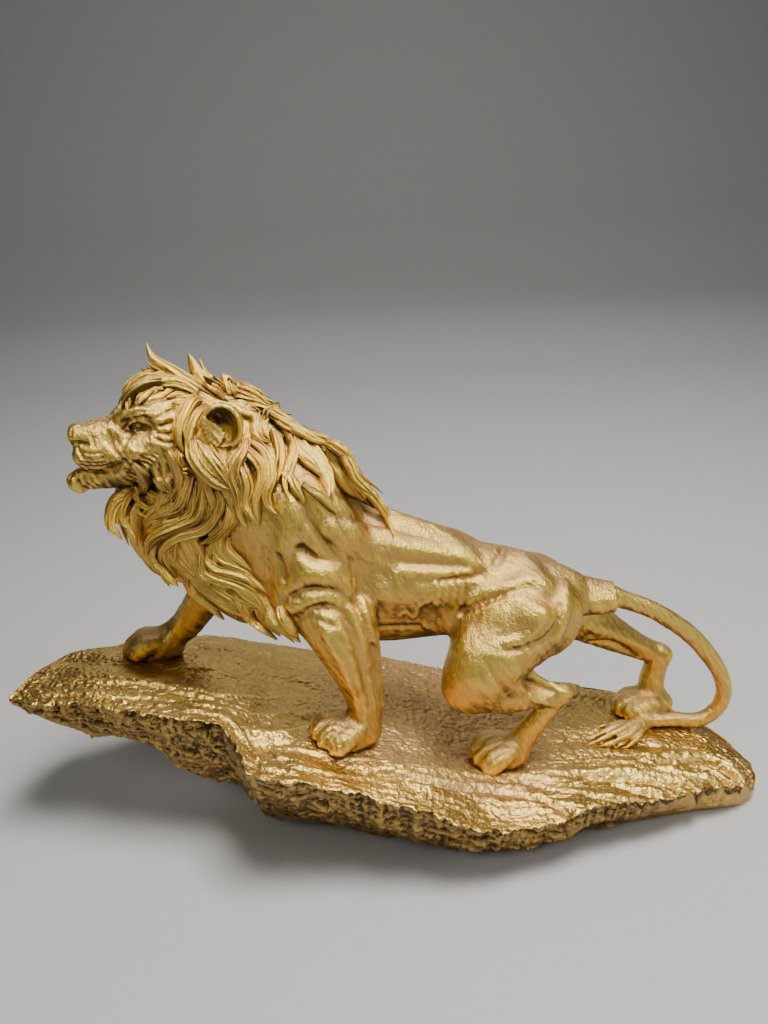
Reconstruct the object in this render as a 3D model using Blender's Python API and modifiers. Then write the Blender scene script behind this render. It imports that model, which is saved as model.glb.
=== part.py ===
"""A striding lion cast as an ornament, standing on a ledge of rock.

Frame: +Z up, the underside of the rock at Z = 0, the nose towards -X, the tail towards +X.
The lion's own midline is the plane Y = 0, and the origin is below the middle of its body.
"""
import math
import random

import bmesh
import bpy
from mathutils import Matrix, Vector
from mathutils.bvhtree import BVHTree

# Driving sizes of the rock, in metres
BASE_LENGTH = 0.510
BASE_DEPTH = 0.182
LEDGE_HEIGHT = 0.112
CLIFF_ROUGHNESS = 0.0030
TOP_RELIEF = 0.0014

# Driving sizes of the lion, in metres
FIGURE_LENGTH = 0.431
LOCK_WIDTH = 0.0115
LOCK_THICKNESS = 0.0072
TAIL_THICKNESS = 0.0125
PAW_LENGTH = 0.038
SEAT_GAP = 0.0004

# Grain of the two castings, in metres, and how many triangles each keeps
FORM_GRAIN = 0.0026
CAST_GRAIN = 0.0016
FIGURE_TRIANGLES = 7400
ROCK_STATIONS = 44

# The sculptor's drawing: the lion drawn 431 units long, the rock 500 long from -249 to 251
DRAWN_FIGURE = 431.0
DRAWN_BASE = 500.0
DRAWN_BASE_START = -249.0
DRAWN_DEPTH = 182.0
DRAWN_LEDGE = 112.0
DRAWN_PAW = 38.0

UNIT = FIGURE_LENGTH / DRAWN_FIGURE
ROCK_X = BASE_LENGTH / DRAWN_BASE
ROCK_Y = BASE_DEPTH / DRAWN_DEPTH
ROCK_Z = LEDGE_HEIGHT / DRAWN_LEDGE


def curve_through(knots, x):
    """A smooth curve through (place, value) knots, flat beyond its ends."""
    places = [k[0] for k in knots]
    if x <= places[0]:
        return knots[0][1]
    if x >= places[-1]:
        return knots[-1][1]
    i = max(j for j in range(len(places) - 1) if places[j] <= x)
    (x0, y0), (x1, y1) = knots[i], knots[i + 1]
    t = (x - x0) / (x1 - x0)
    before = knots[i - 1] if i > 0 else knots[i]
    after = knots[i + 2] if i + 2 < len(knots) else knots[i + 1]
    slope_in = (y1 - before[1]) / (x1 - before[0]) * (x1 - x0)
    slope_out = (after[1] - y0) / (after[0] - x0) * (x1 - x0)
    a = 2 * t ** 3 - 3 * t ** 2 + 1
    b = t ** 3 - 2 * t ** 2 + t
    c = -2 * t ** 3 + 3 * t ** 2
    d = t ** 3 - t ** 2
    return a * y0 + b * slope_in + c * y1 + d * slope_out


# Outlines of the rock in plan and side view, in drawn units
NEAR_RIM_Y = [(-249, -27), (-238, -35), (-195, -42), (-168, -50), (-109, -62), (-97, -74),
              (-85, -95), (-31, -98), (61, -102), (128, -80), (186, -62), (230, -43), (244, -33),
              (251, -20)]
NEAR_RIM_Z = [(-249, 108), (-216, 111), (-182, 112), (-146, 109), (-109, 105), (-84, 96),
              (-57, 88), (-22, 76), (19, 63), (61, 45), (128, 40), (186, 33), (233, 22), (251, 12)]
FAR_RIM_Y = [(-249, -22), (-243, 8), (-228, 35), (-200, 49), (-175, 63), (-133, 81), (40, 84),
             (107, 76), (184, 61), (222, 38), (242, 19), (251, -2)]
FAR_RIM_Z = [(-249, 108), (-228, 105), (-200, 102), (-175, 96), (-133, 87), (-72, 71), (-8, 59),
             (40, 45), (107, 38), (184, 29), (225, 22), (251, 12)]
UNDERSIDE_Z = [(-249, 104), (-231, 90), (-205, 76), (-186, 72), (-161, 60), (-136, 38),
               (-107, 24), (-91, 0)]
NEAR_FOOT_Y = [(-249, -25), (-205, -22), (-136, -22), (-91, -21), (-27, -39), (53, -63),
               (107, -61), (125, -52), (202, -40), (232, -37), (244, -30), (251, -18)]
FAR_FOOT_Y = [(-249, -23), (-205, 18), (-136, 34), (-91, 40), (0, 60), (107, 58), (184, 44),
              (222, 26), (242, 10), (251, -4)]
GROUND_START = -91.0


def rock_wave(x, y):
    """The long folds that run down the slope, in drawn units."""
    drift = y + 0.10 * x + 7.0 * math.sin(x / 37.0)
    ridge = abs(math.sin(drift / 13.0)) - 0.6
    fine = 0.4 * math.sin(drift / 4.3 + x / 29.0)
    return TOP_RELIEF / ROCK_Z * (ridge + fine)


def rock_top(x, y):
    """Height of the rock's top at a drawn place, in drawn units of height."""
    near_y = curve_through(NEAR_RIM_Y, x)
    far_y = curve_through(FAR_RIM_Y, x)
    near_z = curve_through(NEAR_RIM_Z, x)
    far_z = curve_through(FAR_RIM_Z, x)
    share = min(max((y - near_y) / max(far_y - near_y, 1e-6), 0.0), 1.0)
    crown = 3.0 * math.sin(math.pi * share)
    edge = min(share, 1.0 - share) * 8.0
    return near_z + (far_z - near_z) * share + crown + rock_wave(x, y) * min(edge, 1.0)


def rock_place(x, y, z):
    """A drawn place on the rock, in metres."""
    return Vector((x * ROCK_X, y * ROCK_Y, z * ROCK_Z))


def seat(x, y):
    """Where the drawn place (x, y) of the lion meets the rock: the rock's height in metres."""
    rock_x = x * UNIT / ROCK_X
    rock_y = y * UNIT / ROCK_Y
    return rock_top(rock_x, rock_y) * ROCK_Z


STANDING_HEIGHT = 66.5
LIFT = seat(0.0, 0.0) - STANDING_HEIGHT * UNIT


def place(x, y, z):
    """A drawn place of the lion, in metres, carried by the rock under it."""
    return Vector((x * UNIT, y * UNIT, z * UNIT + LIFT))


def on_rock(x, y, above):
    """A place in metres, so many drawn units above the rock at the drawn place (x, y)."""
    return Vector((x * UNIT, y * UNIT, seat(x, y) + above * UNIT))


def clear_scene():
    for thing in list(bpy.data.objects):
        bpy.data.objects.remove(thing, do_unlink=True)


def make_collection(name):
    group = bpy.data.collections.new(name)
    bpy.context.scene.collection.children.link(group)
    return group


def make_material(name, colour, roughness, metallic):
    material = bpy.data.materials.new(name)
    material.use_nodes = True
    shader = material.node_tree.nodes["Principled BSDF"]
    shader.inputs["Base Color"].default_value = (*colour, 1.0)
    shader.inputs["Roughness"].default_value = roughness
    shader.inputs["Metallic"].default_value = metallic
    return material


def object_from(bm, name, group):
    mesh = bpy.data.meshes.new(name)
    bm.to_mesh(mesh)
    bm.free()
    thing = bpy.data.objects.new(name, mesh)
    group.objects.link(thing)
    return thing


def evaluated_copy(thing):
    """The object's mesh after its modifiers, as a new mesh."""
    graph = bpy.context.evaluated_depsgraph_get()
    return bpy.data.meshes.new_from_object(thing.evaluated_get(graph))


def bake_modifiers(thing):
    """Replaces the object's mesh by what its modifiers make of it."""
    mesh = evaluated_copy(thing)
    thing.modifiers.clear()
    thing.data = mesh


def keep_largest_shell(thing):
    """Keeps the outer skin and drops the small shells that a remesh leaves inside it."""
    bm = bmesh.new()
    bm.from_mesh(thing.data)
    unseen = set(bm.verts)
    shells = []
    while unseen:
        shell = {unseen.pop()}
        edge_of_search = list(shell)
        while edge_of_search:
            vert = edge_of_search.pop()
            for edge in vert.link_edges:
                other = edge.other_vert(vert)
                if other in unseen:
                    unseen.remove(other)
                    shell.add(other)
                    edge_of_search.append(other)
        shells.append(shell)
    shells.sort(key=len)
    lost = [vert for shell in shells[:-1] for vert in shell]
    bmesh.ops.delete(bm, geom=lost, context="VERTS")
    bm.to_mesh(thing.data)
    bm.free()


def append_mesh(bm, mesh):
    """Adds a mesh to the others in bm and frees it."""
    bm.from_mesh(mesh)
    bpy.data.meshes.remove(mesh)


def add_ball(bm, centre, radii, turn=0.0, tilt=0.0, segments=20):
    """An ellipsoid: radii along, across and up, tilted nose-down and turned about Z, in degrees."""
    spin = Matrix.Rotation(math.radians(turn), 4, "Z") @ Matrix.Rotation(math.radians(tilt), 4, "Y")
    scale = Matrix.Diagonal((radii[0] * UNIT, radii[1] * UNIT, radii[2] * UNIT, 1.0))
    matrix = Matrix.Translation(centre) @ spin @ scale
    ball = bmesh.new()
    bmesh.ops.create_uvsphere(ball, u_segments=segments, v_segments=segments // 2, radius=1.0,
                              matrix=matrix)
    mesh = bpy.data.meshes.new("ball")
    ball.to_mesh(mesh)
    ball.free()
    append_mesh(bm, mesh)


def add_limb(bm, stops):
    """A tapering limb through (point, radius) stops: a bevelled curve with a ball at each end."""
    points = [stop[0] for stop in stops]
    radii = [stop[1] for stop in stops]
    along = [0.0]
    for a, b in zip(points, points[1:]):
        along.append(along[-1] + (b - a).length)
    steps = max(4, int(along[-1] / (min(radii) * UNIT)))
    data = bpy.data.curves.new("limb", "CURVE")
    data.dimensions = "3D"
    data.bevel_depth = UNIT
    data.bevel_resolution = 3
    data.use_fill_caps = True
    spline = data.splines.new("POLY")
    spline.points.add(steps)
    for k in range(steps + 1):
        s = along[-1] * k / steps
        spot = [curve_through([(a, p[i]) for a, p in zip(along, points)], s) for i in range(3)]
        spline.points[k].co = (*spot, 1.0)
        spline.points[k].radius = curve_through(list(zip(along, radii)), s)
    thing = bpy.data.objects.new("limb", data)
    bpy.context.scene.collection.objects.link(thing)
    append_mesh(bm, evaluated_copy(thing))
    bpy.data.objects.remove(thing, do_unlink=True)
    bpy.data.curves.remove(data)
    for spot, radius in (stops[0], stops[-1]):
        add_ball(bm, spot, (radius, radius, radius), segments=12)


def add_paw(bm, heel, towards, reach, width):
    """A paw: a pad at the ankle and four toes fanned forwards, standing on the rock."""
    heading = math.atan2(towards[1], towards[0])
    ahead = Vector((math.cos(heading), math.sin(heading), 0.0))
    aside = Vector((-ahead.y, ahead.x, 0.0))
    length = reach * PAW_LENGTH / UNIT / DRAWN_PAW
    foot = Vector((heel[0], heel[1], 0.0))
    middle = foot + ahead * length * 0.42
    add_ball(bm, on_rock(middle.x, middle.y, 7.0), (length * 0.55, width * 0.44, 11.5),
             turn=math.degrees(heading))
    for k in range(4):
        spread = (k - 1.5) / 1.5
        toe_reach = length * (0.92 - 0.13 * spread * spread)
        root = foot + ahead * toe_reach * 0.55 + aside * width * 0.30 * spread
        tip = foot + ahead * toe_reach + aside * width * 0.40 * spread
        toe = on_rock(tip.x, tip.y, 5.0)
        add_limb(bm, [(on_rock(root.x, root.y, 11.0), 6.4), (toe, 5.6)])
        claw = toe + (ahead * 5.5 + Vector((0, 0, -1.5))) * UNIT
        add_limb(bm, [(toe, 3.4), (claw, 1.9)])


# Forms of the neck under the mane: centre, radii, tilt of the long axis in degrees
NECK = [((-76, 0, 244), (44, 38, 46), 30), ((-104, 0, 262), (36, 34, 38), 20),
        ((-127, 0, 225), (32, 31, 39), -12), ((-90, 0, 186), (38, 31, 33), 25)]
# Lines of the trunk along its length: top of the back, belly, and half width
BACK_LINE = [(-90, 272), (-58, 262), (-30, 240), (0, 223), (29, 208), (55, 196), (83, 188), (104, 177),
             (121, 167), (132, 158)]
BELLY_LINE = [(-90, 150), (-58, 139), (-10, 131), (31, 132), (60, 136), (100, 135), (132, 142)]
HALF_WIDTH = [(-90, 32), (-58, 36), (-15, 34), (25, 28), (55, 25), (90, 28), (118, 21), (132, 13)]
TRUNK_BALLS = 27
HEAD_TURN = 15.0
HEAD_CENTRE = (-124.0, -6.0, 281.0)
# An ear's centre on the far side, half its width and height, and how far its rim stands out
EAR_CENTRE = (-92.0, 33.0, 292.0)
EAR_HALF = (9.0, 11.0)
EAR_DEPTH = 5.0


def head_place(ahead, aside, up):
    """A place on the head: ahead of the skull's centre, to the lion's right, and up."""
    turn = math.radians(HEAD_TURN)
    x = HEAD_CENTRE[0] - ahead * math.cos(turn) - aside * math.sin(turn)
    y = HEAD_CENTRE[1] - ahead * math.sin(turn) + aside * math.cos(turn)
    return place(x, y, HEAD_CENTRE[2] + up)


def add_trunk(bm):
    """The trunk as a close row of upright ellipsoids between the lines of back and belly."""
    start, end = HALF_WIDTH[0][0], HALF_WIDTH[-1][0]
    for k in range(TRUNK_BALLS):
        x = start + (end - start) * k / (TRUNK_BALLS - 1)
        top, low = curve_through(BACK_LINE, x), curve_through(BELLY_LINE, x)
        half = curve_through(HALF_WIDTH, x)
        add_ball(bm, place(x, 0, (top + low) / 2), (half * 0.75, half, (top - low) / 2), segments=24)


def add_head(bm):
    """Skull, brow, muzzle, cheeks, jaw and the tuft of the chin."""
    turn = HEAD_TURN
    add_ball(bm, head_place(0, 0, 0), (30, 26, 25), turn)
    add_ball(bm, head_place(18, 0, 16), (17, 17, 11), turn)
    add_limb(bm, [(head_place(14, 0, 10), 15), (head_place(34, 0, 6), 11), (head_place(53, 0, 4), 8.5)])
    add_ball(bm, head_place(59, 0, 3), (5.5, 8.5, 5.5), turn)
    add_ball(bm, head_place(42, 0, -14), (18, 12, 9), turn)
    add_limb(bm, [(head_place(10, 0, -14), 17), (head_place(32, 0, -17), 12),
                  (head_place(50, 0, -18.5), 9)])
    add_ball(bm, head_place(57, -1, -24), (7, 7, 6), turn, tilt=20)
    for side in (-1, 1):
        add_ball(bm, head_place(51, side * 7.0, -7.5), (13, 8.5, 11.0), turn)
        add_ball(bm, head_place(24, side * 13, 12.5), (10, 6, 4.5), turn, tilt=12)
        add_ball(bm, head_place(17, side * 19, -3), (16, 8, 13), turn)
        add_ball(bm, head_place(25, side * 12.5, 5.5), (5.0, 4.5, 4.0), turn)
        add_limb(bm, [(head_place(66, side * 3, -25), 4.2), (head_place(60, side * 5, -28), 4.8),
                      (head_place(42, side * 7, -26), 4.0)])


def add_ears(bm):
    """Round cupped ears, as rings around a hollow."""
    for side in (-1, 1):
        centre = Vector((EAR_CENTRE[0], side * EAR_CENTRE[1], EAR_CENTRE[2]))
        outward = Vector((-0.40, side * 0.90, 0.10)).normalized()
        upward = Vector((0.25, 0.0, 1.0))
        upward = (upward - outward * upward.dot(outward)).normalized()
        across = outward.cross(upward)
        for k in range(20):
            angle = 2 * math.pi * k / 20
            spot = centre + upward * math.sin(angle) * EAR_HALF[1] + across * math.cos(angle) * EAR_HALF[0]
            rim = spot + outward * EAR_DEPTH
            add_limb(bm, [(place(*spot), 3.4), (place(*rim), 2.3)])


def add_legs(bm):
    """Four legs, from the mass of shoulder or hip down to each ankle and its paw."""
    add_ball(bm, place(-44, -27, 200), (25, 16, 46), tilt=14)
    add_limb(bm, [(place(-46, -30, 178), 23), (place(-34, -36, 154), 20.5), (place(-25, -40, 130), 16),
                  (place(-19, -41, 106), 12.4), (on_rock(-18, -40, 13), 11.0), (on_rock(-20, -40, 8), 11.2)])
    add_limb(bm, [(place(-18, -34, 172), 9), (place(-14, -38, 150), 7), (place(-12, -40, 128), 6)])
    add_paw(bm, (-17, -38), (-0.84, -0.50), 38, 34)

    add_ball(bm, place(-68, 27, 196), (26, 15, 44), tilt=30)
    add_limb(bm, [(place(-86, 30, 186), 23), (place(-112, 34, 166), 17.5), (place(-129, 36, 148), 14.2),
                  (place(-147, 37, 125), 12.0), (on_rock(-157, 36, 15), 11.0), (on_rock(-160, 35, 8), 11)])
    add_paw(bm, (-155, 36), (-0.97, -0.24), 37, 31)

    add_ball(bm, place(94, -21, 149), (31, 14, 29), tilt=25)
    add_limb(bm, [(place(90, -21, 151), 24.5), (place(71, -28, 136), 27), (place(55, -33, 118), 22),
                  (place(50, -35, 109), 18)])
    add_limb(bm, [(place(52, -34, 112), 19), (place(72, -35, 107), 17), (place(92, -36, 103), 10.5),
                  (place(109, -36, 101), 7.5)])
    add_limb(bm, [(place(110, -36, 101), 7.0), (place(99, -35, 86), 7.6), (place(89, -34, 70), 8.6),
                  (on_rock(82, -33, 11), 9.0)])
    add_paw(bm, (87, -31), (-0.96, -0.26), 36, 29)

    add_ball(bm, place(98, 21, 147), (31, 15, 28), tilt=30)
    add_limb(bm, [(place(100, 22, 148), 24), (place(128, 32, 127), 21), (place(158, 37, 104), 15),
                  (place(184, 38, 88), 10), (place(199, 38, 80), 8)])
    add_limb(bm, [(place(200, 38, 80), 8.0), (place(196, 37, 64), 9.4), (on_rock(194, 36, 13), 10.2),
                  (on_rock(194, 35, 7), 10.6)])
    add_paw(bm, (208, 34), (-0.98, -0.20), 44, 28)


# The tail from the rump: places, each with the girth as a share of the usual; then the places on the
# rock, with the height of the tail's underside above it
TAIL_ROUTE = [((118, 0, 165), 1.5), ((135, 3, 154), 1.2), ((160, 6, 146), 1.0), ((185, 9, 133), 1.0),
              ((211, 12, 112), 1.0), ((231, 13, 87), 0.95), ((241, 15, 64), 0.9), ((239, 16, 47), 0.88)]
TAIL_ON_ROCK = [((227, 16), 0.86, 5.0), ((205, 15), 0.84, 0.5), ((184, 12), 0.82, 0.0)]
# The tuft at its end: the root on the rock, the way it points, its length and its spread
TUFT_ROOT = (188, 12)
TUFT_WAY = (-0.87, -0.49)
TUFT_LENGTH = 54
TUFT_SPREAD = 12


def add_tail(bm):
    """The tail swings out behind the far leg and comes back along the rock to its tuft."""
    half = TAIL_THICKNESS / 2 / UNIT
    stops = [(place(*spot), half * girth) for spot, girth in TAIL_ROUTE]
    for spot, girth, rise in TAIL_ON_ROCK:
        stops.append((on_rock(*spot, half * girth + rise), half * girth))
    add_limb(bm, stops)
    ahead = Vector(TUFT_WAY).normalized()
    aside = Vector((-ahead.y, ahead.x))
    for spread in (-1.0, -0.5, 0.0, 0.5, 1.0):
        strand = []
        for share, girth in ((0.0, 3.6), (0.35, 4.6), (0.7, 3.8), (1.0, 1.5)):
            reach = share * TUFT_LENGTH * (1.0 - 0.22 * spread * spread)
            spot = Vector(TUFT_ROOT) + ahead * reach + aside * TUFT_SPREAD * spread * math.sin(2.1 * share)
            strand.append((on_rock(spot.x, spot.y, girth), girth))
        add_limb(bm, strand)


def grow_lock(form, root, axes, heading, bend, length, lift, rows):
    """A lock's line over the form: points and the form's normals, from its root to its tip.

    The heading is an angle in the plane of the two axes, and the line turns by bend on its way.
    """
    spot, normal, _, _ = form.find_nearest(root)
    line = []
    for k in range(rows + 1):
        share = k / rows
        line.append((spot + normal * (lift * share ** 2.2) * UNIT, normal.copy()))
        angle = math.radians(heading + bend * share)
        ahead = axes[0] * math.cos(angle) + axes[1] * math.sin(angle)
        ahead = ahead - normal * ahead.dot(normal)
        if ahead.length < 0.05:
            break
        ahead.normalize()
        step = spot + ahead * (length / rows * UNIT)
        spot, normal, _, _ = form.find_nearest(step)
    return line


def add_lock(bm, line, width, thickness):
    """A lock as a loft of humped sections that swell after the root and close to a point."""
    rings = []
    count = len(line)
    for k, (spot, normal) in enumerate(line):
        share = k / (count - 1)
        ahead = line[min(k + 1, count - 1)][0] - line[max(k - 1, 0)][0]
        ahead.normalize()
        aside = ahead.cross(normal)
        aside.normalize()
        out = aside.cross(ahead)
        swell = (0.55 + 0.45 * math.sin(math.pi * min(share / 0.7, 1.0))) * (1.0 - share ** 3) + 0.06
        half = width / 2 * swell
        high = thickness * (0.35 + 0.65 * swell)
        ring = []
        for across, up in ((-1.0, -0.35), (-0.85, 0.35), (-0.45, 0.85), (0.0, 1.0), (0.45, 0.85),
                           (0.85, 0.35), (1.0, -0.35), (0.0, -0.55)):
            ring.append(bm.verts.new(spot + aside * half * across + out * high * up))
        rings.append(ring)
    size = len(rings[0])
    for a, b in zip(rings, rings[1:]):
        for i in range(size):
            j = (i + 1) % size
            bm.faces.new((a[i], a[j], b[j], b[i]))
    bm.faces.new(rings[0][::-1])
    bm.faces.new(rings[-1])


# Rows of locks on each side of the neck: view, first root, last root, first and last heading,
# turn on the way, length, lift of the tip, number of locks, width as a share of the usual
ROWS = [
    ("side", (-108, 307), (-112, 296), 195, 215, 100, 46, 2, 2, 0.8),
    ("side", (-132, 309), (-126, 318), 2, 8, -14, 50, 2, 3, 0.9),
    ("side", (-96, 312), (-76, 302), -8, -20, -28, 62, 3, 4, 1.0),
    ("side", (-64, 294), (-46, 270), -24, -32, -30, 76, 4, 5, 1.0),
    ("side", (-84, 302), (-58, 278), -45, -40, -45, 56, 3, 4, 1.0),
    ("side", (-106, 282), (-80, 272), -52, -62, -18, 60, 4, 5, 1.0),
    ("side", (-122, 282), (-102, 262), -62, -66, -105, 84, 4, 5, 1.1),
    ("side", (-146, 262), (-126, 256), -84, -72, -62, 48, 5, 4, 1.0),
    ("side", (-148, 228), (-112, 240), -84, -78, 62, 74, 4, 6, 1.05),
    ("side", (-128, 198), (-84, 208), -62, -58, 38, 62, 5, 6, 1.0),
    ("side", (-84, 236), (-66, 222), -80, -70, 20, 48, 3, 3, 1.0),
    ("top", (-150, 6), (-132, 20), 8, 14, 10, 46, 4, 3, 1.0),
    ("top", (-112, 5), (-104, 22), 2, 4, 8, 46, 4, 3, 1.0),
    ("top", (-76, 5), (-70, 22), 0, 4, 4, 52, 4, 3, 1.1),
    ("top", (-44, 6), (-40, 18), 0, 2, -2, 46, 3, 2, 1.0),
    ("front", (5, 256), (24, 252), -94, -84, 24, 40, 6, 3, 1.0),
    ("front", (5, 232), (26, 228), -92, -86, -22, 40, 6, 3, 1.0),
    ("front", (5, 208), (26, 204), -92, -80, 22, 42, 6, 3, 1.0),
    ("front", (5, 184), (24, 180), -90, -86, -16, 34, 5, 3, 1.0),
]
# The crest's upturned tufts: root, lean back in degrees from upright, height, thickness
TUFTS = [((-131, -2, 309), -12, 24, 5.6), ((-141, 8, 306), -25, 11, 4.6),
         ((-106, -3, 304), -10, 21, 5.8), ((-88, 1, 303), 4, 12, 5.6), ((-120, 9, 305), 5, 13, 5.0)]
# How far out each search for a lock's root starts: from the side, from above and from the front
ROOT_ASIDE = 52.0
ROOT_ABOVE = 345.0
ROOT_BEFORE = -210.0
# The curls over the forehead: the middle of their bend and how far they reach forward and up
FORELOCK_CENTRE = (-139.0, -6.0, 300.0)
FORELOCK_REACH = (14.0, 9.0)
VIEWS = {"side": (Vector((1, 0, 0)), Vector((0, 0, 1))),
         "top": (Vector((1, 0, 0)), Vector((0, 1, 0))),
         "front": (Vector((0, 1, 0)), Vector((0, 0, 1)))}


def row_root(view, a, b, side):
    if view == "side":
        return place(a, side * ROOT_ASIDE, b)
    if view == "top":
        return place(a, side * b, ROOT_ABOVE)
    return place(ROOT_BEFORE, side * a, b)


def add_mane(bm, form):
    """Every row of locks on both sides, each lock a little unlike its neighbour, and the crest."""
    chance = random.Random(11)
    for side in (-1, 1):
        for view, first, last, head_a, head_b, bend, length, lift, count, wide in ROWS:
            axes = VIEWS[view]
            if view != "side":
                mirrored = Vector((axes[1].x, axes[1].y * side, axes[1].z))
                axes = (Vector((axes[0].x, axes[0].y * side, axes[0].z)), mirrored)
            for k in range(round(count)):
                share = k / max(count - 1, 1)
                a = first[0] + (last[0] - first[0]) * share + chance.uniform(-1.5, 1.5)
                b = first[1] + (last[1] - first[1]) * share + chance.uniform(-1.5, 1.5)
                heading = head_a + (head_b - head_a) * share + chance.uniform(-5, 5)
                reach = length * chance.uniform(0.88, 1.1)
                line = grow_lock(form, row_root(view, a, b, side), axes, heading,
                                 bend * chance.uniform(0.85, 1.15), reach, lift, 11)
                add_lock(bm, line, LOCK_WIDTH * wide, LOCK_THICKNESS)
    for root, lean, height, thick in TUFTS:
        stops = []
        for share in (0.0, 0.4, 0.75, 1.0):
            swing = math.radians(lean) * (0.4 + share)
            x = root[0] + 14 * (1 - share) ** 2 + math.sin(swing) * height * share
            z = root[2] - 6 + (height + 6) * share
            stops.append((place(x, root[1], z), thick * (1.35 - 0.85 * share)))
        add_limb(bm, stops)
    for side in (-1, 1):
        for k in range(3):
            stops = []
            for share in (0.0, 0.5, 1.0):
                angle = math.radians(-20 + 130 * share)
                x = FORELOCK_CENTRE[0] - FORELOCK_REACH[0] * math.sin(angle) + 4 * k
                y = FORELOCK_CENTRE[1] + side * (3 + 5 * k)
                z = FORELOCK_CENTRE[2] + FORELOCK_REACH[1] * math.cos(angle) + 2 * k
                stops.append((place(x, y, z), 4.6 - 1.6 * share))
            add_limb(bm, stops)


def make_lion(group, spare, rock):
    form_bm = bmesh.new()
    add_trunk(form_bm)
    for centre, radii, tilt in NECK:
        add_ball(form_bm, place(*centre), radii, tilt=tilt, segments=32)
    add_head(form_bm)
    add_legs(form_bm)
    add_tail(form_bm)
    form = object_from(form_bm, "lion_form", spare)
    remesh = form.modifiers.new("Fuse", "REMESH")
    remesh.mode = "VOXEL"
    remesh.voxel_size = FORM_GRAIN
    smooth = form.modifiers.new("Soften", "SMOOTH")
    smooth.factor = 0.5
    smooth.iterations = 6
    bake_modifiers(form)
    keep_largest_shell(form)

    bm = bmesh.new()
    bm.from_mesh(form.data)
    tree = BVHTree.FromBMesh(bm)
    add_mane(bm, tree)
    add_ears(bm)
    lion = object_from(bm, "lion", group)
    fuse = lion.modifiers.new("Fuse", "REMESH")
    fuse.mode = "VOXEL"
    fuse.voxel_size = CAST_GRAIN
    bake_modifiers(lion)
    keep_largest_shell(lion)
    thin = lion.modifiers.new("Thin out", "DECIMATE")
    thin.ratio = FIGURE_TRIANGLES / (2 * len(lion.data.polygons))
    thin.use_collapse_triangulate = True
    bake_modifiers(lion)
    cut = lion.modifiers.new("Seat on the rock", "BOOLEAN")
    cut.operation = "DIFFERENCE"
    cut.solver = "EXACT"
    cut.object = rock
    bpy.data.objects.remove(form, do_unlink=True)
    bake_modifiers(lion)
    keep_largest_shell(lion)
    lion.data.materials.clear()
    lion.data.materials.append(make_material("gold_lion", (0.83, 0.58, 0.20), 0.32, 1.0))
    return lion


def rock_section(x, chance):
    """One slice across the rock, as a closed ring of points in drawn units."""
    near_y, far_y = curve_through(NEAR_RIM_Y, x), curve_through(FAR_RIM_Y, x)
    low = curve_through(UNDERSIDE_Z, x) if x < GROUND_START else 0.0
    near_foot, far_foot = curve_through(NEAR_FOOT_Y, x), curve_through(FAR_FOOT_Y, x)
    rough = CLIFF_ROUGHNESS / ROCK_Y
    ring = []
    for k in range(13):
        y = near_y + (far_y - near_y) * k / 12
        ring.append((x, y, rock_top(x, y)))
    far_top, near_top = ring[-1][2], ring[0][2]
    for share in (0.12, 0.4, 0.75):
        y = far_y + (far_foot - far_y) * share ** 1.5 + chance.uniform(-rough, rough)
        ring.append((x, y, far_top + (low - far_top) * share))
    for k in range(5):
        ring.append((x, far_foot + (near_foot - far_foot) * k / 4, low))
    for share in (0.25, 0.6, 0.88):
        y = near_foot + (near_y - near_foot) * share ** 0.7 + chance.uniform(-rough, rough)
        ring.append((x, y, low + (near_top - low) * share))
    return ring


def make_rock(group):
    chance = random.Random(5)
    bm = bmesh.new()
    rings = []
    for k in range(ROCK_STATIONS + 1):
        share = k / ROCK_STATIONS
        eased = share - 0.035 * math.sin(2 * math.pi * share)
        x = DRAWN_BASE_START + DRAWN_BASE * eased
        rings.append([bm.verts.new(rock_place(*spot)) for spot in rock_section(x, chance)])
    size = len(rings[0])
    for a, b in zip(rings, rings[1:]):
        for i in range(size):
            j = (i + 1) % size
            bm.faces.new((a[i], b[i], b[j], a[j]))
    bm.faces.new(rings[0])
    bm.faces.new(rings[-1][::-1])
    bmesh.ops.triangulate(bm, faces=bm.faces)
    bmesh.ops.recalc_face_normals(bm, faces=bm.faces)
    rock = object_from(bm, "rock_base", group)
    rock.data.materials.append(make_material("gold_rock", (0.72, 0.50, 0.22), 0.45, 1.0))
    return rock


def main():
    clear_scene()
    group = make_collection("lion_on_rock")
    spare = make_collection("cutters")
    rock = make_rock(group)
    raised = bpy.data.objects.new("rock_cutter", rock.data.copy())
    raised.location.z = SEAT_GAP
    raised.hide_render = True
    raised.display_type = "WIRE"
    spare.objects.link(raised)
    bpy.context.view_layer.update()
    make_lion(group, spare, raised)


main()
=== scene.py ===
import math
import random

import bpy
import numpy as np
from mathutils import Matrix, Vector, noise
from mathutils.bvhtree import BVHTree


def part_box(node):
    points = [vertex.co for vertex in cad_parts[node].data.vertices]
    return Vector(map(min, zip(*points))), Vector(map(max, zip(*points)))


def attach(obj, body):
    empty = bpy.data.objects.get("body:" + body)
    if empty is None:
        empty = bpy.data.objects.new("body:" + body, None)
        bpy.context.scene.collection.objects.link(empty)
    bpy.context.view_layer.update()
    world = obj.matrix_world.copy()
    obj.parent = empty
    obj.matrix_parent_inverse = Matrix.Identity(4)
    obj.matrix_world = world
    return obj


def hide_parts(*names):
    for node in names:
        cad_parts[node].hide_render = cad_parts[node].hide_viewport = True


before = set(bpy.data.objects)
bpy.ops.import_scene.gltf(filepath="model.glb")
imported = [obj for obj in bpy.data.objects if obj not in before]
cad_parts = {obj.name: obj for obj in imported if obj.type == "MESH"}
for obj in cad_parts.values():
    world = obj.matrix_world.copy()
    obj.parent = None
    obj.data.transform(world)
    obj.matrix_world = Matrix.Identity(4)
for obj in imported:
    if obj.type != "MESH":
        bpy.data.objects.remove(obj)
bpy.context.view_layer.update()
rockLow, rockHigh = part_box("rock_base")
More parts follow.
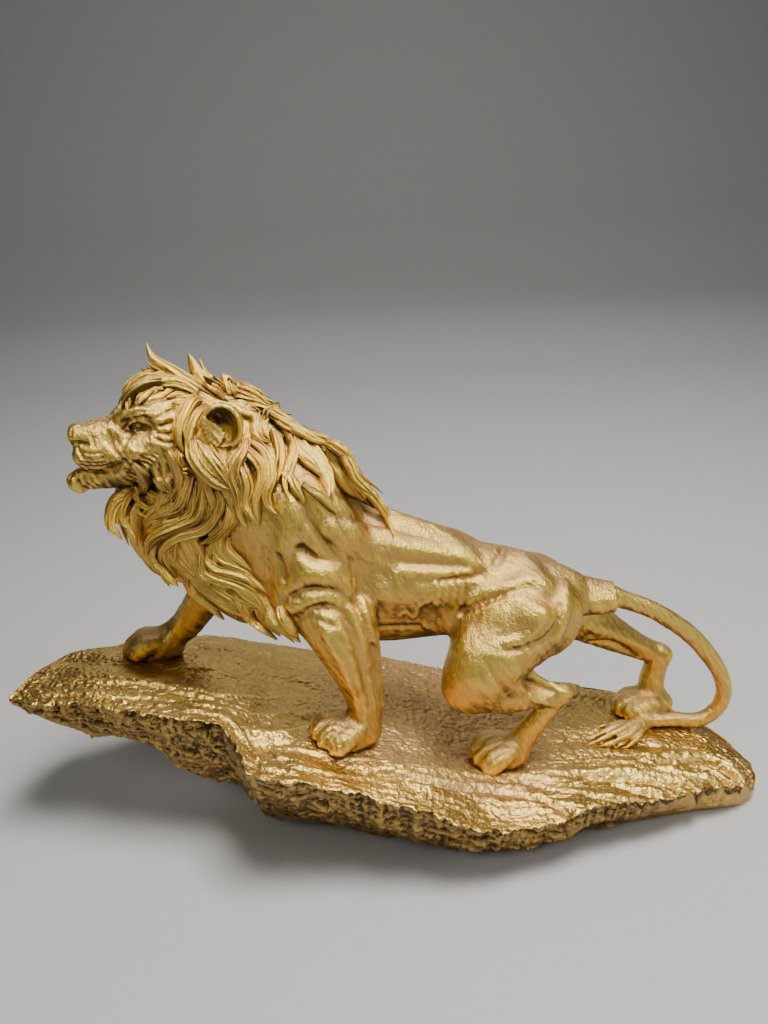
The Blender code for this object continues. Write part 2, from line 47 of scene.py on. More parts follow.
drawnLength = 510.0  # of the rock, in the millimetres that every shape below is drawn in
unit = (rockHigh.x - rockLow.x) / drawnLength  # metres in one of them
frameWidth, frameHeight = 768, 1024

view = {  # the photograph's camera: its axes as columns, its place and its lens
    "right": (0.99891229, -0.01781446, -0.04309157),
    "up": (0.04662873, 0.38163339, 0.92313689),
    "back": (0.0, -0.92414209, 0.38204895),
    "place": (0.0, -0.510, 0.430),
    "film": 36.0,
    "lens": 860 / frameHeight * 36.0,
}


# The way from the camera through a place in the photograph's frame
def eyeRay(u, v):
    focal = view["lens"] / view["film"] * frameHeight
    across, down = (u - frameWidth / 2) / focal, (v - frameHeight / 2) / focal
    return (Vector(view["right"]) * across - Vector(view["up"]) * down - Vector(view["back"])).normalized()


# Curves and the rock's outlines, in drawn millimetres

def curveThrough(knots, x):
    places = [k[0] for k in knots]
    if x <= places[0]:
        return knots[0][1]
    if x >= places[-1]:
        return knots[-1][1]
    i = max(j for j in range(len(places) - 1) if places[j] <= x)
    (x0, y0), (x1, y1) = knots[i], knots[i + 1]
    t = (x - x0) / (x1 - x0)
    before = knots[max(i - 1, 0)]
    after = knots[min(i + 2, len(knots) - 1)]
    slopeIn = (y1 - before[1]) / (x1 - before[0]) * (x1 - x0)
    slopeOut = (after[1] - y0) / (after[0] - x0) * (x1 - x0)
    start, end = 2 * t ** 3 - 3 * t ** 2 + 1, 3 * t ** 2 - 2 * t ** 3
    return start * y0 + (t ** 3 - 2 * t ** 2 + t) * slopeIn + end * y1 + (t ** 3 - t ** 2) * slopeOut


def outline(knots, steps=600):
    xs = np.linspace(knots[0][0], knots[-1][0], steps)
    ys = np.array([curveThrough(knots, x) for x in xs])
    return lambda x: np.interp(x, xs, ys)


def smoothPath(points, count):
    points = [np.array(p, float) for p in points]
    along = np.concatenate([[0.0], np.cumsum([np.linalg.norm(b - a) for a, b in zip(points, points[1:])])])
    picks = np.linspace(0.0, along[-1], count)
    columns = []
    for i in range(len(points[0])):
        knots = [(a, p[i]) for a, p in zip(along, points)]
        columns.append([curveThrough(knots, s) for s in picks])
    return np.array(columns).T


def ramp(x, low, high):
    t = np.clip((x - low) / (high - low), 0.0, 1.0)
    return t * t * (3.0 - 2.0 * t)


rock = {
    "start": -249.0,        # left tip
    "length": 500.0,
    "stretch": 1.02,        # along X, from the outlines below to the real length
    "groundStart": -91.0,   # where the underside meets the table
    "relief": 1.4,          # long folds of the top, as in the solid
    "folds": 2.4,           # depth of the folds at the low end
    "foldWidth": 12.0,
    "groove": 1.0,          # the dark groove along the near edge
    "step": 4.5,            # drop to the front slab
    "streaks": 1.9,         # thin bright ridges along the ledge
    "grain": 0.7,
    "chips": 1.5,           # broken faces of the cliffs
    "jag": 2.6,             # broken line of the rim
    "knob": (187.0, -57.0),
    "knobRadius": 7.5,
    "knobHeight": 4.5,
    "stations": 410,
    "topPoints": 150,
    "nearPoints": 52,       # down the near cliff
    "farPoints": 18,
    "underPoints": 8,
}
nearRimY = outline([(-249, -27), (-238, -35), (-195, -42), (-168, -50), (-109, -62), (-97, -74), (-85, -95),
                    (-31, -98), (61, -102), (128, -80), (186, -62), (230, -43), (244, -33), (251, -20)])
nearRimZ = outline([(-249, 108), (-216, 111), (-182, 112), (-146, 109), (-109, 105), (-84, 96), (-57, 88),
                    (-22, 76), (19, 63), (61, 45), (128, 40), (186, 33), (233, 22), (251, 12)])
farRimY = outline([(-249, -22), (-243, 8), (-228, 35), (-200, 49), (-175, 63), (-133, 81), (40, 84),
                   (107, 76), (184, 61), (222, 38), (242, 19), (251, -2)])
farRimZ = outline([(-249, 108), (-228, 105), (-200, 102), (-175, 96), (-133, 87), (-72, 71), (-8, 59),
                   (40, 45), (107, 38), (184, 29), (225, 22), (251, 12)])
undersideZ = outline([(-249, 104), (-231, 90), (-205, 76), (-186, 72), (-161, 60), (-136, 38), (-107, 24),
                      (-91, 0)])
nearFootY = outline([(-249, -25), (-205, -22), (-136, -22), (-91, -21), (-27, -39), (53, -63), (107, -61),
                     (125, -52), (202, -40), (232, -37), (244, -30), (251, -18)])
farFootY = outline([(-249, -23), (-205, 18), (-136, 34), (-91, 40), (0, 60), (107, 58), (184, 44),
                    (222, 26), (242, 10), (251, -4)])


def rockTop(x, y):
    x, y = np.asarray(x, float), np.asarray(y, float)
    nearY, farY = nearRimY(x), farRimY(x)
    share = np.clip((y - nearY) / np.maximum(farY - nearY, 1e-6), 0.0, 1.0)
    drift = y + 0.10 * x + 7.0 * np.sin(x / 37.0)
    wave = rock["relief"] * (np.abs(np.sin(drift / 13.0)) - 0.6 + 0.4 * np.sin(drift / 4.3 + x / 29.0))
    edge = np.minimum(np.minimum(share, 1.0 - share) * 8.0, 1.0)
    return nearRimZ(x) + (farRimZ(x) - nearRimZ(x)) * share + 3.0 * np.sin(math.pi * share) + wave * edge


standingHeight = 66.5  # height of the rock under the middle of the lion, as drawn
lift = float(rockTop(0.0, 0.0)) - standingHeight


def seat(x, y):
    return float(rockTop(x / rock["stretch"], y)) - lift


# A stroke of the modelling tool: its radius along the way, and how far off the skin its middle runs
def strokeProfile(count, radius, height):
    swell = np.sqrt(np.sin(math.pi * (0.06 + 0.88 * np.linspace(0.0, 1.0, count))))
    sizes = radius * (0.35 + 0.65 * swell)
    return sizes, sizes * (1 if height < 0 else -1) + height * swell


# Clay: a block of space that holds each cell's distance to the skin, so that forms melt together

class Clay:
    def __init__(self, low, high, grain):
        self.low = np.array(low, float)
        self.grain = grain
        count = np.ceil((np.array(high, float) - self.low) / grain).astype(int) + 1
        self.field = np.full(count, 25.0, np.float32)

    def window(self, low, high):
        first = np.maximum(np.floor((np.array(low) - self.low) / self.grain).astype(int), 0)
        last = np.ceil((np.array(high) - self.low) / self.grain).astype(int) + 1
        last = np.minimum(last, self.field.shape)
        slices = tuple(slice(a, max(a, b)) for a, b in zip(first, last))
        axes = [(self.low[i] + self.grain * np.arange(slices[i].start, slices[i].stop)).astype(np.float32)
                for i in range(3)]
        return slices, np.meshgrid(*axes, indexing="ij", sparse=True)

    def merge(self, slices, distance, blend):
        old = self.field[slices]
        near = np.maximum(blend - np.abs(old - distance), 0.0) / blend
        self.field[slices] = np.minimum(old, distance) - near * near * blend * 0.25

    def cut(self, slices, distance, blend):
        old = self.field[slices]
        near = np.maximum(blend - np.abs(old + distance), 0.0) / blend
        self.field[slices] = np.maximum(old, -distance) + near * near * blend * 0.25

    def ball(self, centre, radii, turn=0.0, tilt=0.0, roll=0.0, blend=6.0, hollow=False):
        centre = np.array(centre, float)
        reach = max(radii) + blend + 2.0
        slices, (x, y, z) = self.window(centre - reach, centre + reach)
        spin = (Matrix.Rotation(math.radians(turn), 3, "Z") @ Matrix.Rotation(math.radians(tilt), 3, "Y")
                @ Matrix.Rotation(math.radians(roll), 3, "X"))
        x, y, z = x - centre[0], y - centre[1], z - centre[2]
        first = second = 0.0
        for i in range(3):
            across = x * spin[0][i] + y * spin[1][i] + z * spin[2][i]
            first = first + (across / radii[i]) ** 2
            second = second + (across / radii[i] ** 2) ** 2
        first = np.sqrt(first)
        distance = first * (first - 1.0) / np.sqrt(second + 1e-9)
        (self.cut if hollow else self.merge)(slices, distance, blend)

    def limb(self, stops, blend=6.0, hollow=False, steps=None):
        spots = np.array([s[0] for s in stops], float)
        sizes = [s[1] for s in stops]
        count = steps or max(4, 3 * len(stops))
        line = smoothPath([(*p, r) for p, r in zip(spots, sizes)], count)
        self.chain(line[:, :3], line[:, 3], blend, hollow)

    def chain(self, spots, sizes, blend, hollow=False):
        reach = max(sizes) + blend + 2.0
        slices, (x, y, z) = self.window(spots.min(0) - reach, spots.max(0) + reach)
        if 0 in [s.stop - s.start for s in slices]:
            return
        best = None
        for a, b, r, q in zip(spots, spots[1:], sizes, sizes[1:]):
            run = b - a
            share = ((x - a[0]) * run[0] + (y - a[1]) * run[1] + (z - a[2]) * run[2]) / max(run @ run, 1e-6)
            share = np.clip(share, 0.0, 1.0)
            gap = np.sqrt((x - a[0] - share * run[0]) ** 2 + (y - a[1] - share * run[1]) ** 2
                          + (z - a[2] - share * run[2]) ** 2)
            gap = gap - (r + (q - r) * share)
            best = gap if best is None else np.minimum(best, gap)
        (self.cut if hollow else self.merge)(slices, best, blend)

    def skin(self, x, z, side, limits=(-80.0, 80.0)):
        i = int(round((x - self.low[0]) / self.grain))
        k = int(round((z - self.low[2]) / self.grain))
        if not (0 <= i < self.field.shape[0] and 0 <= k < self.field.shape[2]):
            return None
        ys = self.low[1] + self.grain * np.arange(self.field.shape[1])
        inside = np.nonzero((self.field[i, :, k] < 0) & (ys > limits[0]) & (ys < limits[1]))[0]
        if not len(inside):
            return None
        j = inside[0] if side < 0 else inside[-1]
        return ys[j]

    # A stroke along the side, in side view: a groove where height is below zero, else a ridge
    def stroke(self, path, side, radius, height, blend=None, limits=(-80.0, 80.0)):
        spots = []
        for x, z in smoothPath(path, max(6, 5 * len(path))):
            y = self.skin(x, z, side, limits)
            if y is not None:
                spots.append((x, y, z))
        if len(spots) < 3:
            return
        spots = np.array(spots)
        spots[1:-1, 1] = (spots[:-2, 1] + spots[1:-1, 1] + spots[2:, 1]) / 3
        sizes, out = strokeProfile(len(spots), radius, height)
        spots[:, 1] += side * out
        self.chain(spots, sizes, blend or max(2.5, 1.5 * radius), hollow=height < 0)

    # The distance to the skin at any places
    def value(self, spots):
        at = np.clip((spots - self.low) / self.grain, 0, np.array(self.field.shape) - 1.001)
        cell = at.astype(int)
        share = at - cell
        total = 0.0
        for corner in np.ndindex(2, 2, 2):
            weight = np.prod(np.where(corner, share, 1 - share), axis=1)
            total = total + weight * self.field[tuple((cell + corner).T)]
        return total

    # Where the camera sees the skin through the given places of the photograph's frame, and the way
    # out there. A spot that lies far off the one before it, on another limb, is left out.
    def seen(self, places):
        eye = np.array(view["place"]) / unit - (0, 0, lift)
        stride, apart = 0.6, 16
        reach = np.arange(250.0, 760.0, stride)[:, None]
        spots = []
        for u, v in places:
            ray = np.array(eyeRay(u, v))
            depths = self.value(eye + ray * reach)
            inside = np.nonzero(depths < 0)[0]
            if len(inside) and inside[0] > 0:
                k = inside[0]
                spot = eye + ray * (reach[k] - stride * depths[k] / (depths[k] - depths[k - 1]))
                if not spots or np.linalg.norm(spot - spots[-1]) < apart:
                    spots.append(spot)
        if len(spots) < 3:
            return None, None
        spots = np.array(spots)
        steps = np.eye(3) * self.grain * 1.5
        ways = np.stack([self.value(spots + step) - self.value(spots - step) for step in steps], 1)
        return spots, ways / (np.linalg.norm(ways, axis=1)[:, None] + 1e-9)

    # A stroke drawn in the photograph's frame, and the same on the far side if it is mirrored
    def trace(self, places, radius, height, blend=None, mirrored=False):
        spots, ways = self.seen(smoothPath(places, max(6, 5 * len(places))))
        if spots is None:
            return
        sizes, out = strokeProfile(len(spots), radius, height)
        spots = spots + ways * out[:, None]
        for across in (1, -1) if mirrored else (1,):
            self.chain(spots * (1, across, 1), sizes, blend or max(1.8, 1.5 * radius), hollow=height < 0)

    # The skin as a mesh: one point in each cell that it passes through, a face across each edge it cuts
    def skinMesh(self):
        f = self.field
        inside = f < 0
        count = np.zeros([n - 1 for n in f.shape], np.uint8)
        corners = list(np.ndindex(2, 2, 2))
        sizes = count.shape
        for a, b, c in corners:
            count += inside[a:a + sizes[0], b:b + sizes[1], c:c + sizes[2]]
        cells = np.argwhere((count > 0) & (count < 8))
        number = np.full(sizes, -1, np.int32)
        number[tuple(cells.T)] = np.arange(len(cells))
        total = np.zeros((len(cells), 3))
        hits = np.zeros(len(cells))
        for axis in range(3):
            for a, b, c in corners:
                if (a, b, c)[axis]:
                    continue
                start = cells + (a, b, c)
                end = start.copy()
                end[:, axis] += 1
                one, two = f[tuple(start.T)], f[tuple(end.T)]
                crossed = (one < 0) != (two < 0)
                share = np.where(crossed, one / np.where(crossed, one - two, 1.0), 0.0)
                spot = start.astype(float)
                spot[:, axis] += share
                total += spot * crossed[:, None]
                hits += crossed
        points = self.low + self.grain * total / hits[:, None]
        faces = []
        for axis in range(3):
            u, v = (axis + 1) % 3, (axis + 2) % 3
            low = [slice(None)] * 3
            high = [slice(None)] * 3
            low[axis], high[axis] = slice(0, -1), slice(1, None)
            edges = np.argwhere(inside[tuple(low)] != inside[tuple(high)])
            edges = edges[(edges[:, u] > 0) & (edges[:, v] > 0)]
            edges = edges[(edges[:, u] < sizes[u]) & (edges[:, v] < sizes[v])]
            ring = []
            for du, dv in ((1, 1), (0, 1), (0, 0), (1, 0)):
                cell = edges.copy()
                cell[:, u] -= du
                cell[:, v] -= dv
                ring.append(number[tuple(cell.T)])
            ring = np.stack(ring, 1)
            flipped = ~inside[tuple(edges.T)]
            ring[flipped] = ring[flipped][:, ::-1]
            faces.append(ring)
        return points, np.concatenate(faces)


# Meshes

def placed(name, data):
    thing = bpy.data.objects.new(name, data)
    bpy.context.scene.collection.objects.link(thing)
    return thing


def meshObject(name, points, faces):
    mesh = bpy.data.meshes.new(name)
    mesh.from_pydata((np.asarray(points) * unit).tolist(), [], list(map(list, faces)))
    mesh.update()
    mesh.shade_smooth()
    return placed(name, mesh)


def triangleCount(mesh):
    return sum(len(p.vertices) - 2 for p in mesh.polygons)


def thinTo(piece, triangles):
    now = triangleCount(piece.data)
    if now > triangles:
        thin = piece.modifiers.new("thin", "DECIMATE")
        thin.ratio = triangles / now
        graph = bpy.context.evaluated_depsgraph_get()
        mesh = bpy.data.meshes.new_from_object(piece.evaluated_get(graph))
        piece.modifiers.clear()
        piece.data = mesh
        mesh.shade_smooth()
    print(piece.name, "triangles", now, "->", triangleCount(piece.data))


def readOut(items, field, width, kind=np.float32):
    values = np.empty(len(items) * width, kind)
    items.foreach_get(field, values)
    return values.reshape(-1, width)


def coordinates(mesh):
    return readOut(mesh.vertices, "co", 3).astype(float)


def normals(mesh):
    return readOut(mesh.vertices, "normal", 3).astype(float)


def edgesOf(mesh):
    return readOut(mesh.edges, "vertices", 2, np.int32)


def moveTo(mesh, spots):
    mesh.vertices.foreach_set("co", spots.ravel())
    mesh.update()


def neighbourMean(spots, edges, rounds, strength=0.6):
    share = np.bincount(edges.ravel(), minlength=len(spots)).clip(1)[:, None]
    for _ in range(rounds):
        total = np.zeros_like(spots)
        for i in range(spots.shape[1]):
            total[:, i] += np.bincount(edges[:, 0], spots[edges[:, 1], i], len(spots))
            total[:, i] += np.bincount(edges[:, 1], spots[edges[:, 0], i], len(spots))
        spots = spots + strength * (total / share - spots)
    return spots


def soften(piece, rounds):
    mesh = piece.data
    moveTo(mesh, neighbourMean(coordinates(mesh), edgesOf(mesh), rounds))


def paint(mesh, name, values):
    layer = mesh.attributes.new(name, "FLOAT", "POINT")
    layer.data.foreach_set("value", np.asarray(values, np.float32))


# How far each point lies in a hollow, from 0 on a ridge over 0.5 on plain skin to 1 in a groove. The finishes
# paint shade in the hollows and highlights on the ridges by it.
def paintHollows(piece, reach, depth, eyes=()):
    mesh = piece.data
    spots, edges = coordinates(mesh), edgesOf(mesh)
    total = np.zeros(len(spots))
    for rounds, weight in ((reach, 0.6), (reach * 4, 0.4)):
        mean = neighbourMean(spots, edges, rounds)
        total += weight * np.einsum("ij,ij->i", mean - spots, normals(mesh)) / (depth * unit * rounds ** 0.5)
    # The eye sockets are set as deep hollows: painted shade in the eyes
    for eye in eyes:
        away = np.linalg.norm(spots / unit - (0, 0, lift) - np.array(eye), axis=1)
        total += 0.6 * (1 - ramp(away, 3.4, 6.6))
    paint(mesh, "hollow", np.clip(0.5 + total, 0.0, 1.0))


# The lion's body

body = {
    "grain": 1.05,
    "triangles": 184000,
    "hairDepth": 0.42,
    "neck": [((-63, 0, 234), (50, 37, 40), 35), ((-102, 0, 262), (37, 34, 38), 22),
             ((-127, 0, 225), (32, 31, 39), -12), ((-90, 0, 186), (38, 31, 33), 25)],
    "back": [(-90, 266), (-58, 254), (-30, 234), (0, 219), (29, 206), (55, 196), (83, 188), (104, 177),
             (121, 167), (132, 158)],
    "belly": [(-90, 150), (-58, 139), (-10, 131), (31, 132), (60, 136), (100, 135), (132, 142)],
    "halfWidth": [(-90, 32), (-58, 36), (-15, 34), (25, 28), (55, 25), (90, 28), (118, 21), (132, 12)],
    "tailRadius": 6.25,
}


def addTrunk(clay):
    back, belly, half = outline(body["back"]), outline(body["belly"]), outline(body["halfWidth"])
    start, end = body["halfWidth"][0][0], body["halfWidth"][-1][0]
    slices, (x, y, z) = clay.window((start - 30, -48, 110), (end + 20, 48, 300))
    xs = np.clip(x, start, end)
    top, low, wide = back(xs), belly(xs), half(xs)
    tall = (top - low) / 2
    up = (z - (top + low) / 2) / tall
    wide = wide * (1.0 + 0.06 * up)  # a little broader above than below
    round_ = (np.abs(y / wide) ** 2.25 + np.abs(up) ** 2.25 + ((x - xs) / 24.0) ** 2) ** 0.45
    clay.merge(slices, ((round_ - 1.0) * np.minimum(wide, tall) * 0.9).astype(np.float32), 6.0)
    for centre, radii, tilt in body["neck"]:
        clay.ball(centre, radii, tilt=tilt, blend=10)


def on(x, y, above):
    return (x, y, seat(x, y) + above)


def addPaw(clay, heel, towards, length, width):
    heading = math.atan2(towards[1], towards[0])
    ahead = np.array((math.cos(heading), math.sin(heading)))
    aside = np.array((-ahead[1], ahead[0]))
    heel = np.array(heel, float)
    middle = heel + ahead * length * 0.42
    clay.ball(on(*middle, 8), (length * 0.50, width * 0.44, 13.0), turn=math.degrees(heading), blend=6)
    for k in range(4):
        spread = (k - 1.5) / 1.5
        reach = length * (0.87 - 0.11 * spread * spread)
        root = heel + ahead * reach * 0.52 + aside * width * 0.30 * spread
        knuckle = heel + ahead * reach * 0.83 + aside * width * 0.36 * spread
        tip = heel + ahead * reach + aside * width * 0.36 * spread
        clay.limb([(on(*root, 13.5), 5.6), (on(*knuckle, 10.6), 6.9), (on(*tip, 6.4), 6.3)], blend=2.6)
        clay.limb([(on(*(tip + ahead * 4.0), 4.6), 1.8), (on(*(tip + ahead * 5.6), 3.0), 1.2)], blend=1.6)
        if k < 3:                                                   # cleft to the next toe
            gap = heel + aside * width * 0.36 * (spread + 0.33)
            cleft = ((0.62, 20, 0.5), (0.76, 17.4, 1.2), (0.94, 10, 1.6), (1.0, 2, 1.6))
            stops = [(on(*(gap + ahead * length * share), above), girth) for share, above, girth in cleft]
            clay.limb(stops, blend=2.0, hollow=True)


def addForelegs(clay):
    clay.ball((-44, -26, 200), (25, 15, 46), tilt=14, blend=9)
    clay.ball((-52, -30, 226), (15, 9, 30), tilt=12, blend=6)      # shoulder blade
    clay.ball((-40, -37, 196), (12, 8, 21), tilt=-48, blend=5)     # upper arm's back bulge
    clay.ball((-59, -34, 186), (11, 9, 27), tilt=12, blend=5)      # upper arm's front bulge
    clay.limb([((-46, -30, 178), 21), ((-34, -36, 156), 18.5), ((-25, -39, 132), 14.5),
               ((-19, -41, 108), 11.2), (on(-18, -40, 13), 10.4), (on(-19, -40, 8), 10.6)], blend=7)
    clay.ball((-36, -45, 158), (9, 8, 19), tilt=-24, blend=4)      # forearm's outer bulge
    clay.ball((-22, -42, 160), (7, 8, 18), tilt=-14, blend=4)      # forearm's back bulge
    clay.ball((-17, -36, 172), (7, 7, 7), blend=4)                 # point of the elbow
    clay.limb([((-15, -38, 168), 7), ((-12, -39, 148), 5.6), ((-10, -40, 122), 4.2), ((-9, -40, 104), 4.0)],
              blend=4)
    addPaw(clay, (-17, -38), (-0.84, -0.50), 38, 34)

    clay.ball((-68, 26, 196), (26, 15, 44), tilt=30, blend=9)
    clay.limb([((-86, 30, 186), 22), ((-112, 34, 166), 16.5), ((-129, 36, 148), 13.2),
               ((-147, 37, 125), 11.2), (on(-157, 36, 15), 10.4), (on(-160, 35, 8), 10.4)], blend=7)
    clay.ball((-122, 30, 160), (9, 7, 17), tilt=40, blend=4)
    addPaw(clay, (-155, 36), (-0.97, -0.24), 37, 31)


def addHindlegs(clay):
    clay.ball((94, -21, 149), (31, 14, 29), tilt=25, blend=8)
    clay.limb([((90, -21, 151), 24.5), ((71, -28, 136), 26), ((55, -33, 118), 21), ((50, -35, 109), 17)],
              blend=7)
    clay.ball((84, -36, 150), (12, 8, 24), tilt=50, blend=5)       # thigh's upper bulge
    clay.ball((100, -30, 145), (9, 9, 24), tilt=18, blend=5)       # thigh's back bulge
    clay.limb([((52, -34, 112), 18), ((72, -35, 106), 15.5), ((92, -36, 102), 9.4), ((109, -36, 101), 6.6)],
              blend=5)
    clay.ball((72, -43, 119), (15, 7, 9), tilt=24, blend=4)        # calf
    clay.limb([((88, -37, 117), 3.6), ((99, -37, 109), 2.9), ((112, -36, 103), 3.4)], blend=4)  # heel cord
    clay.ball((113, -36, 102.5), (5.2, 4.2, 4.0), blend=3)         # point of the hock
    clay.limb([((110, -36, 101), 6.2), ((99, -35, 86), 6.9), ((89, -34, 70), 7.9), (on(82, -33, 11), 8.6)],
              blend=4)
    addPaw(clay, (87, -31), (-0.96, -0.26), 36, 29)

    clay.ball((98, 21, 147), (31, 15, 28), tilt=30, blend=8)
    clay.limb([((100, 22, 148), 24), ((128, 32, 127), 20.5), ((158, 37, 104), 13.8), ((184, 38, 88), 9.4),
               ((200, 38, 80), 8)], blend=7)
    clay.ball((205, 38, 80), (4.8, 4.2, 4.2), blend=3)
    clay.limb([((164, 31, 104), 4), ((184, 33, 91), 3.2), ((202, 37, 81), 3.4)], blend=3)
    clay.limb([((200, 38, 80), 7.8), ((196, 37, 64), 9.0), (on(194, 36, 13), 9.8), (on(194, 35, 7), 10.4)],
              blend=4)
    addPaw(clay, (208, 34), (-0.98, -0.20), 44, 28)


def addTail(clay):
    size = body["tailRadius"]
    clay.limb([((96, 0, 169), size * 1.8), ((118, 0, 164), size * 1.45), ((135, 3, 155), size * 1.2),
               ((152, 5, 149), size * 1.08)], blend=14, steps=24)
    stops = [((133, 3, 155), size * 1.2), ((160, 6, 146), size), ((185, 9, 133), size),
             ((211, 12, 112), size), ((231, 13, 87), size * 0.95), ((241, 15, 64), size * 0.9),
             ((239, 16, 47), size * 0.88)]
    for x, y, share, rise in ((227, 16, 0.86, 5.0), (205, 15, 0.84, 0.5), (184, 12, 0.82, 0.0)):
        stops.append((on(x, y, size * share + rise), size * share))
    clay.limb(stops, blend=4, steps=70)
    ahead, aside = np.array((-0.87, -0.49)), np.array((0.49, -0.87))
    for k in range(11):                                             # tuft
        spread = (k - 5) / 5
        strand = []
        for share, girth in ((0.0, 3.6), (0.25, 3.4), (0.55, 3.0), (0.85, 1.9), (1.0, 0.8)):
            reach = share * (54 - 12 * spread * spread + 5 * math.sin(4.1 * k))
            sway = 12 * spread * math.sin(share * 2.1) * (0.6 + 0.4 * share)
            sway += 2.5 * math.sin(5 * share + 2.3 * k) * share
            spot = np.array((188.0, 12.0)) + ahead * reach + aside * sway
            above = girth * (0.6 + 0.8 * (1 - abs(spread))) + (k * 7 % 3) * 1.3 * math.sin(math.pi * share)
            strand.append((on(*spot, above), girth * (0.85 - 0.2 * abs(spread))))
        clay.limb(strand, blend=0.9, steps=18)


# Grooves (height below zero) and ridges on the near side: radius, height, then their places in the
# photograph's frame. Those of the flank lie on the far side too.
flankStrokes = [
    (3.6, -2.8, [(330, 519), (350, 520), (370, 525), (392, 531), (410, 537), (428, 540), (442, 549),
                 (453, 559), (464, 567), (482, 573)]),
    (2.2, -1.6, [(405, 535), (428, 541), (442, 549), (455, 560)]),
    (7.0, 1.6, [(392, 518), (418, 527), (440, 537), (456, 551), (468, 563)]),
    (8.0, 2.0, [(335, 531), (360, 536), (385, 542), (410, 550), (436, 557), (455, 562)]),
    (4.5, -2.2, [(393, 559), (415, 563), (440, 566), (460, 568)]),
    (2.6, 1.3, [(402, 571), (425, 572), (450, 573), (470, 573)]),
    (2.0, -1.6, [(412, 580), (436, 581), (458, 579), (478, 576)]),
    (8.0, 1.2, [(385, 590), (410, 593), (440, 595)]),
    (3.0, -2.0, [(470, 590), (466, 604), (458, 620)]),
    (1.6, -1.2, [(374, 627), (398, 626), (420, 626)]),
    (1.6, 1.2, [(424, 625), (436, 630), (444, 640)]),
    (3.4, -2.2, [(300, 497), (306, 512), (314, 526), (321, 538), (328, 551), (333, 563)]),
    (2.6, -1.6, [(283, 484), (291, 491), (299, 499)]),
    (5.5, 2.0, [(312, 482), (318, 498), (322, 514), (325, 528)]),
    (6.0, 1.6, [(287, 503), (290, 525), (287, 548)]),
    (3.4, 2.2, [(306, 532), (314, 543), (324, 554), (333, 565)]),
]
legStrokes = [
    # a vein
    (0.9, 0.9, [(400, 615), (406, 612), (412, 617), (416, 614), (419, 606), (430, 600), (432, 593)]),
    (2.8, -2.4, [(301, 549), (308, 555), (318, 563), (330, 569)]),
    (4.5, 1.6, [(302, 562), (312, 570), (326, 576)]),
    (2.2, -1.8, [(279, 556), (283, 570), (287, 584), (293, 596), (302, 600)]),
    (2.8, -2.0, [(287, 598), (300, 591), (317, 587), (334, 590), (346, 598), (353, 607), (357, 618)]),
    (5.0, 2.2, [(290, 588), (304, 579), (322, 576), (340, 583), (353, 597)]),
    (4.0, 2.2, [(294, 608), (306, 600), (322, 597), (338, 602), (348, 612), (355, 628), (362, 645),
                (368, 662)]),
    (2.8, -1.7, [(298, 619), (310, 611), (326, 608), (340, 613), (349, 624), (356, 640), (361, 655),
                 (366, 674)]),
    (7.0, 2.2, [(330, 624), (338, 636), (345, 655), (352, 680)]),
    (1.6, -1.2, [(314, 618), (326, 624), (336, 626)]),
    (2.0, -1.6, [(345, 620), (352, 636), (358, 655), (364, 680), (370, 705)]),
    (3.0, 1.8, [(322, 628), (334, 645), (347, 668), (357, 695), (364, 725)]),
    (1.8, -1.5, [(332, 640), (346, 662), (357, 690), (362, 715)]),
    # thigh
    (9.0, 2.4, [(458, 625), (478, 613), (500, 607), (520, 604), (535, 612)]),
    (2.4, -1.8, [(462, 612), (478, 603), (495, 596), (515, 590)]),
    (4.0, 1.6, [(470, 600), (488, 592), (506, 586), (524, 582)]),
    (2.4, -1.6, [(506, 541), (501, 555), (494, 568)]),
    (7.0, 1.4, [(520, 555), (530, 572), (540, 585)]),
    (5.0, -2.0, [(528, 588), (542, 594), (552, 603)]),
    (3.4, 2.0, [(566, 585), (566, 605), (562, 625), (557, 640)]),
    (2.0, -1.6, [(560, 606), (558, 622), (548, 636), (534, 645), (516, 649), (500, 652), (489, 660)]),
    (2.4, 1.0, [(545, 612), (538, 628), (520, 640), (500, 645), (485, 655)]),
    (12.0, 1.5, [(465, 650), (470, 670), (485, 685)]),
    (1.4, -1.3, [(487, 662), (493, 672), (499, 682), (506, 693)]),
    (4.5, 1.8, [(500, 657), (509, 664), (516, 676), (521, 690)]),
    (3.0, -2.4, [(521, 681), (531, 684), (541, 687), (551, 689)]),
    (1.4, 1.4, [(529, 696), (535, 700), (544, 702), (553, 706)]),
    (1.8, 1.3, [(534, 674), (546, 682), (558, 689), (567, 695)]),
]
pawFolds = [
    [(311, 727), (320, 719), (332, 716), (343, 719)],
    [(313, 735), (323, 727), (335, 723), (347, 727)],
    [(319, 741), (328, 734), (340, 731), (351, 734)],
    [(477, 751), (485, 742), (497, 736), (508, 739)],
    [(481, 759), (489, 750), (501, 744), (512, 747)],
    [(487, 765), (495, 757), (506, 752), (516, 755)],
]
hairFan = {"count": 10, "first": (348, 557), "step": (4.6, 1.2), "radius": 1.3, "depth": -1.1}
groinFolds = {"count": 5, "first": 436, "step": 8, "radius": 1.6, "height": 0.9}
elbowTuft = {"count": 10, "first": (357, 600), "step": (1.3, 4.6), "radius": 1.2, "height": 1.6}
farLegStrokes = [  # in side view
    ([(143, 104), (161, 102), (180, 85)], 2.0, -1.6),
    ([(140, 120), (160, 108), (186, 92)], 3.0, 1.5),
    ([(-122, 168), (-139, 149), (-152, 129), (-165, 109)], 2.0, 1.4),
]


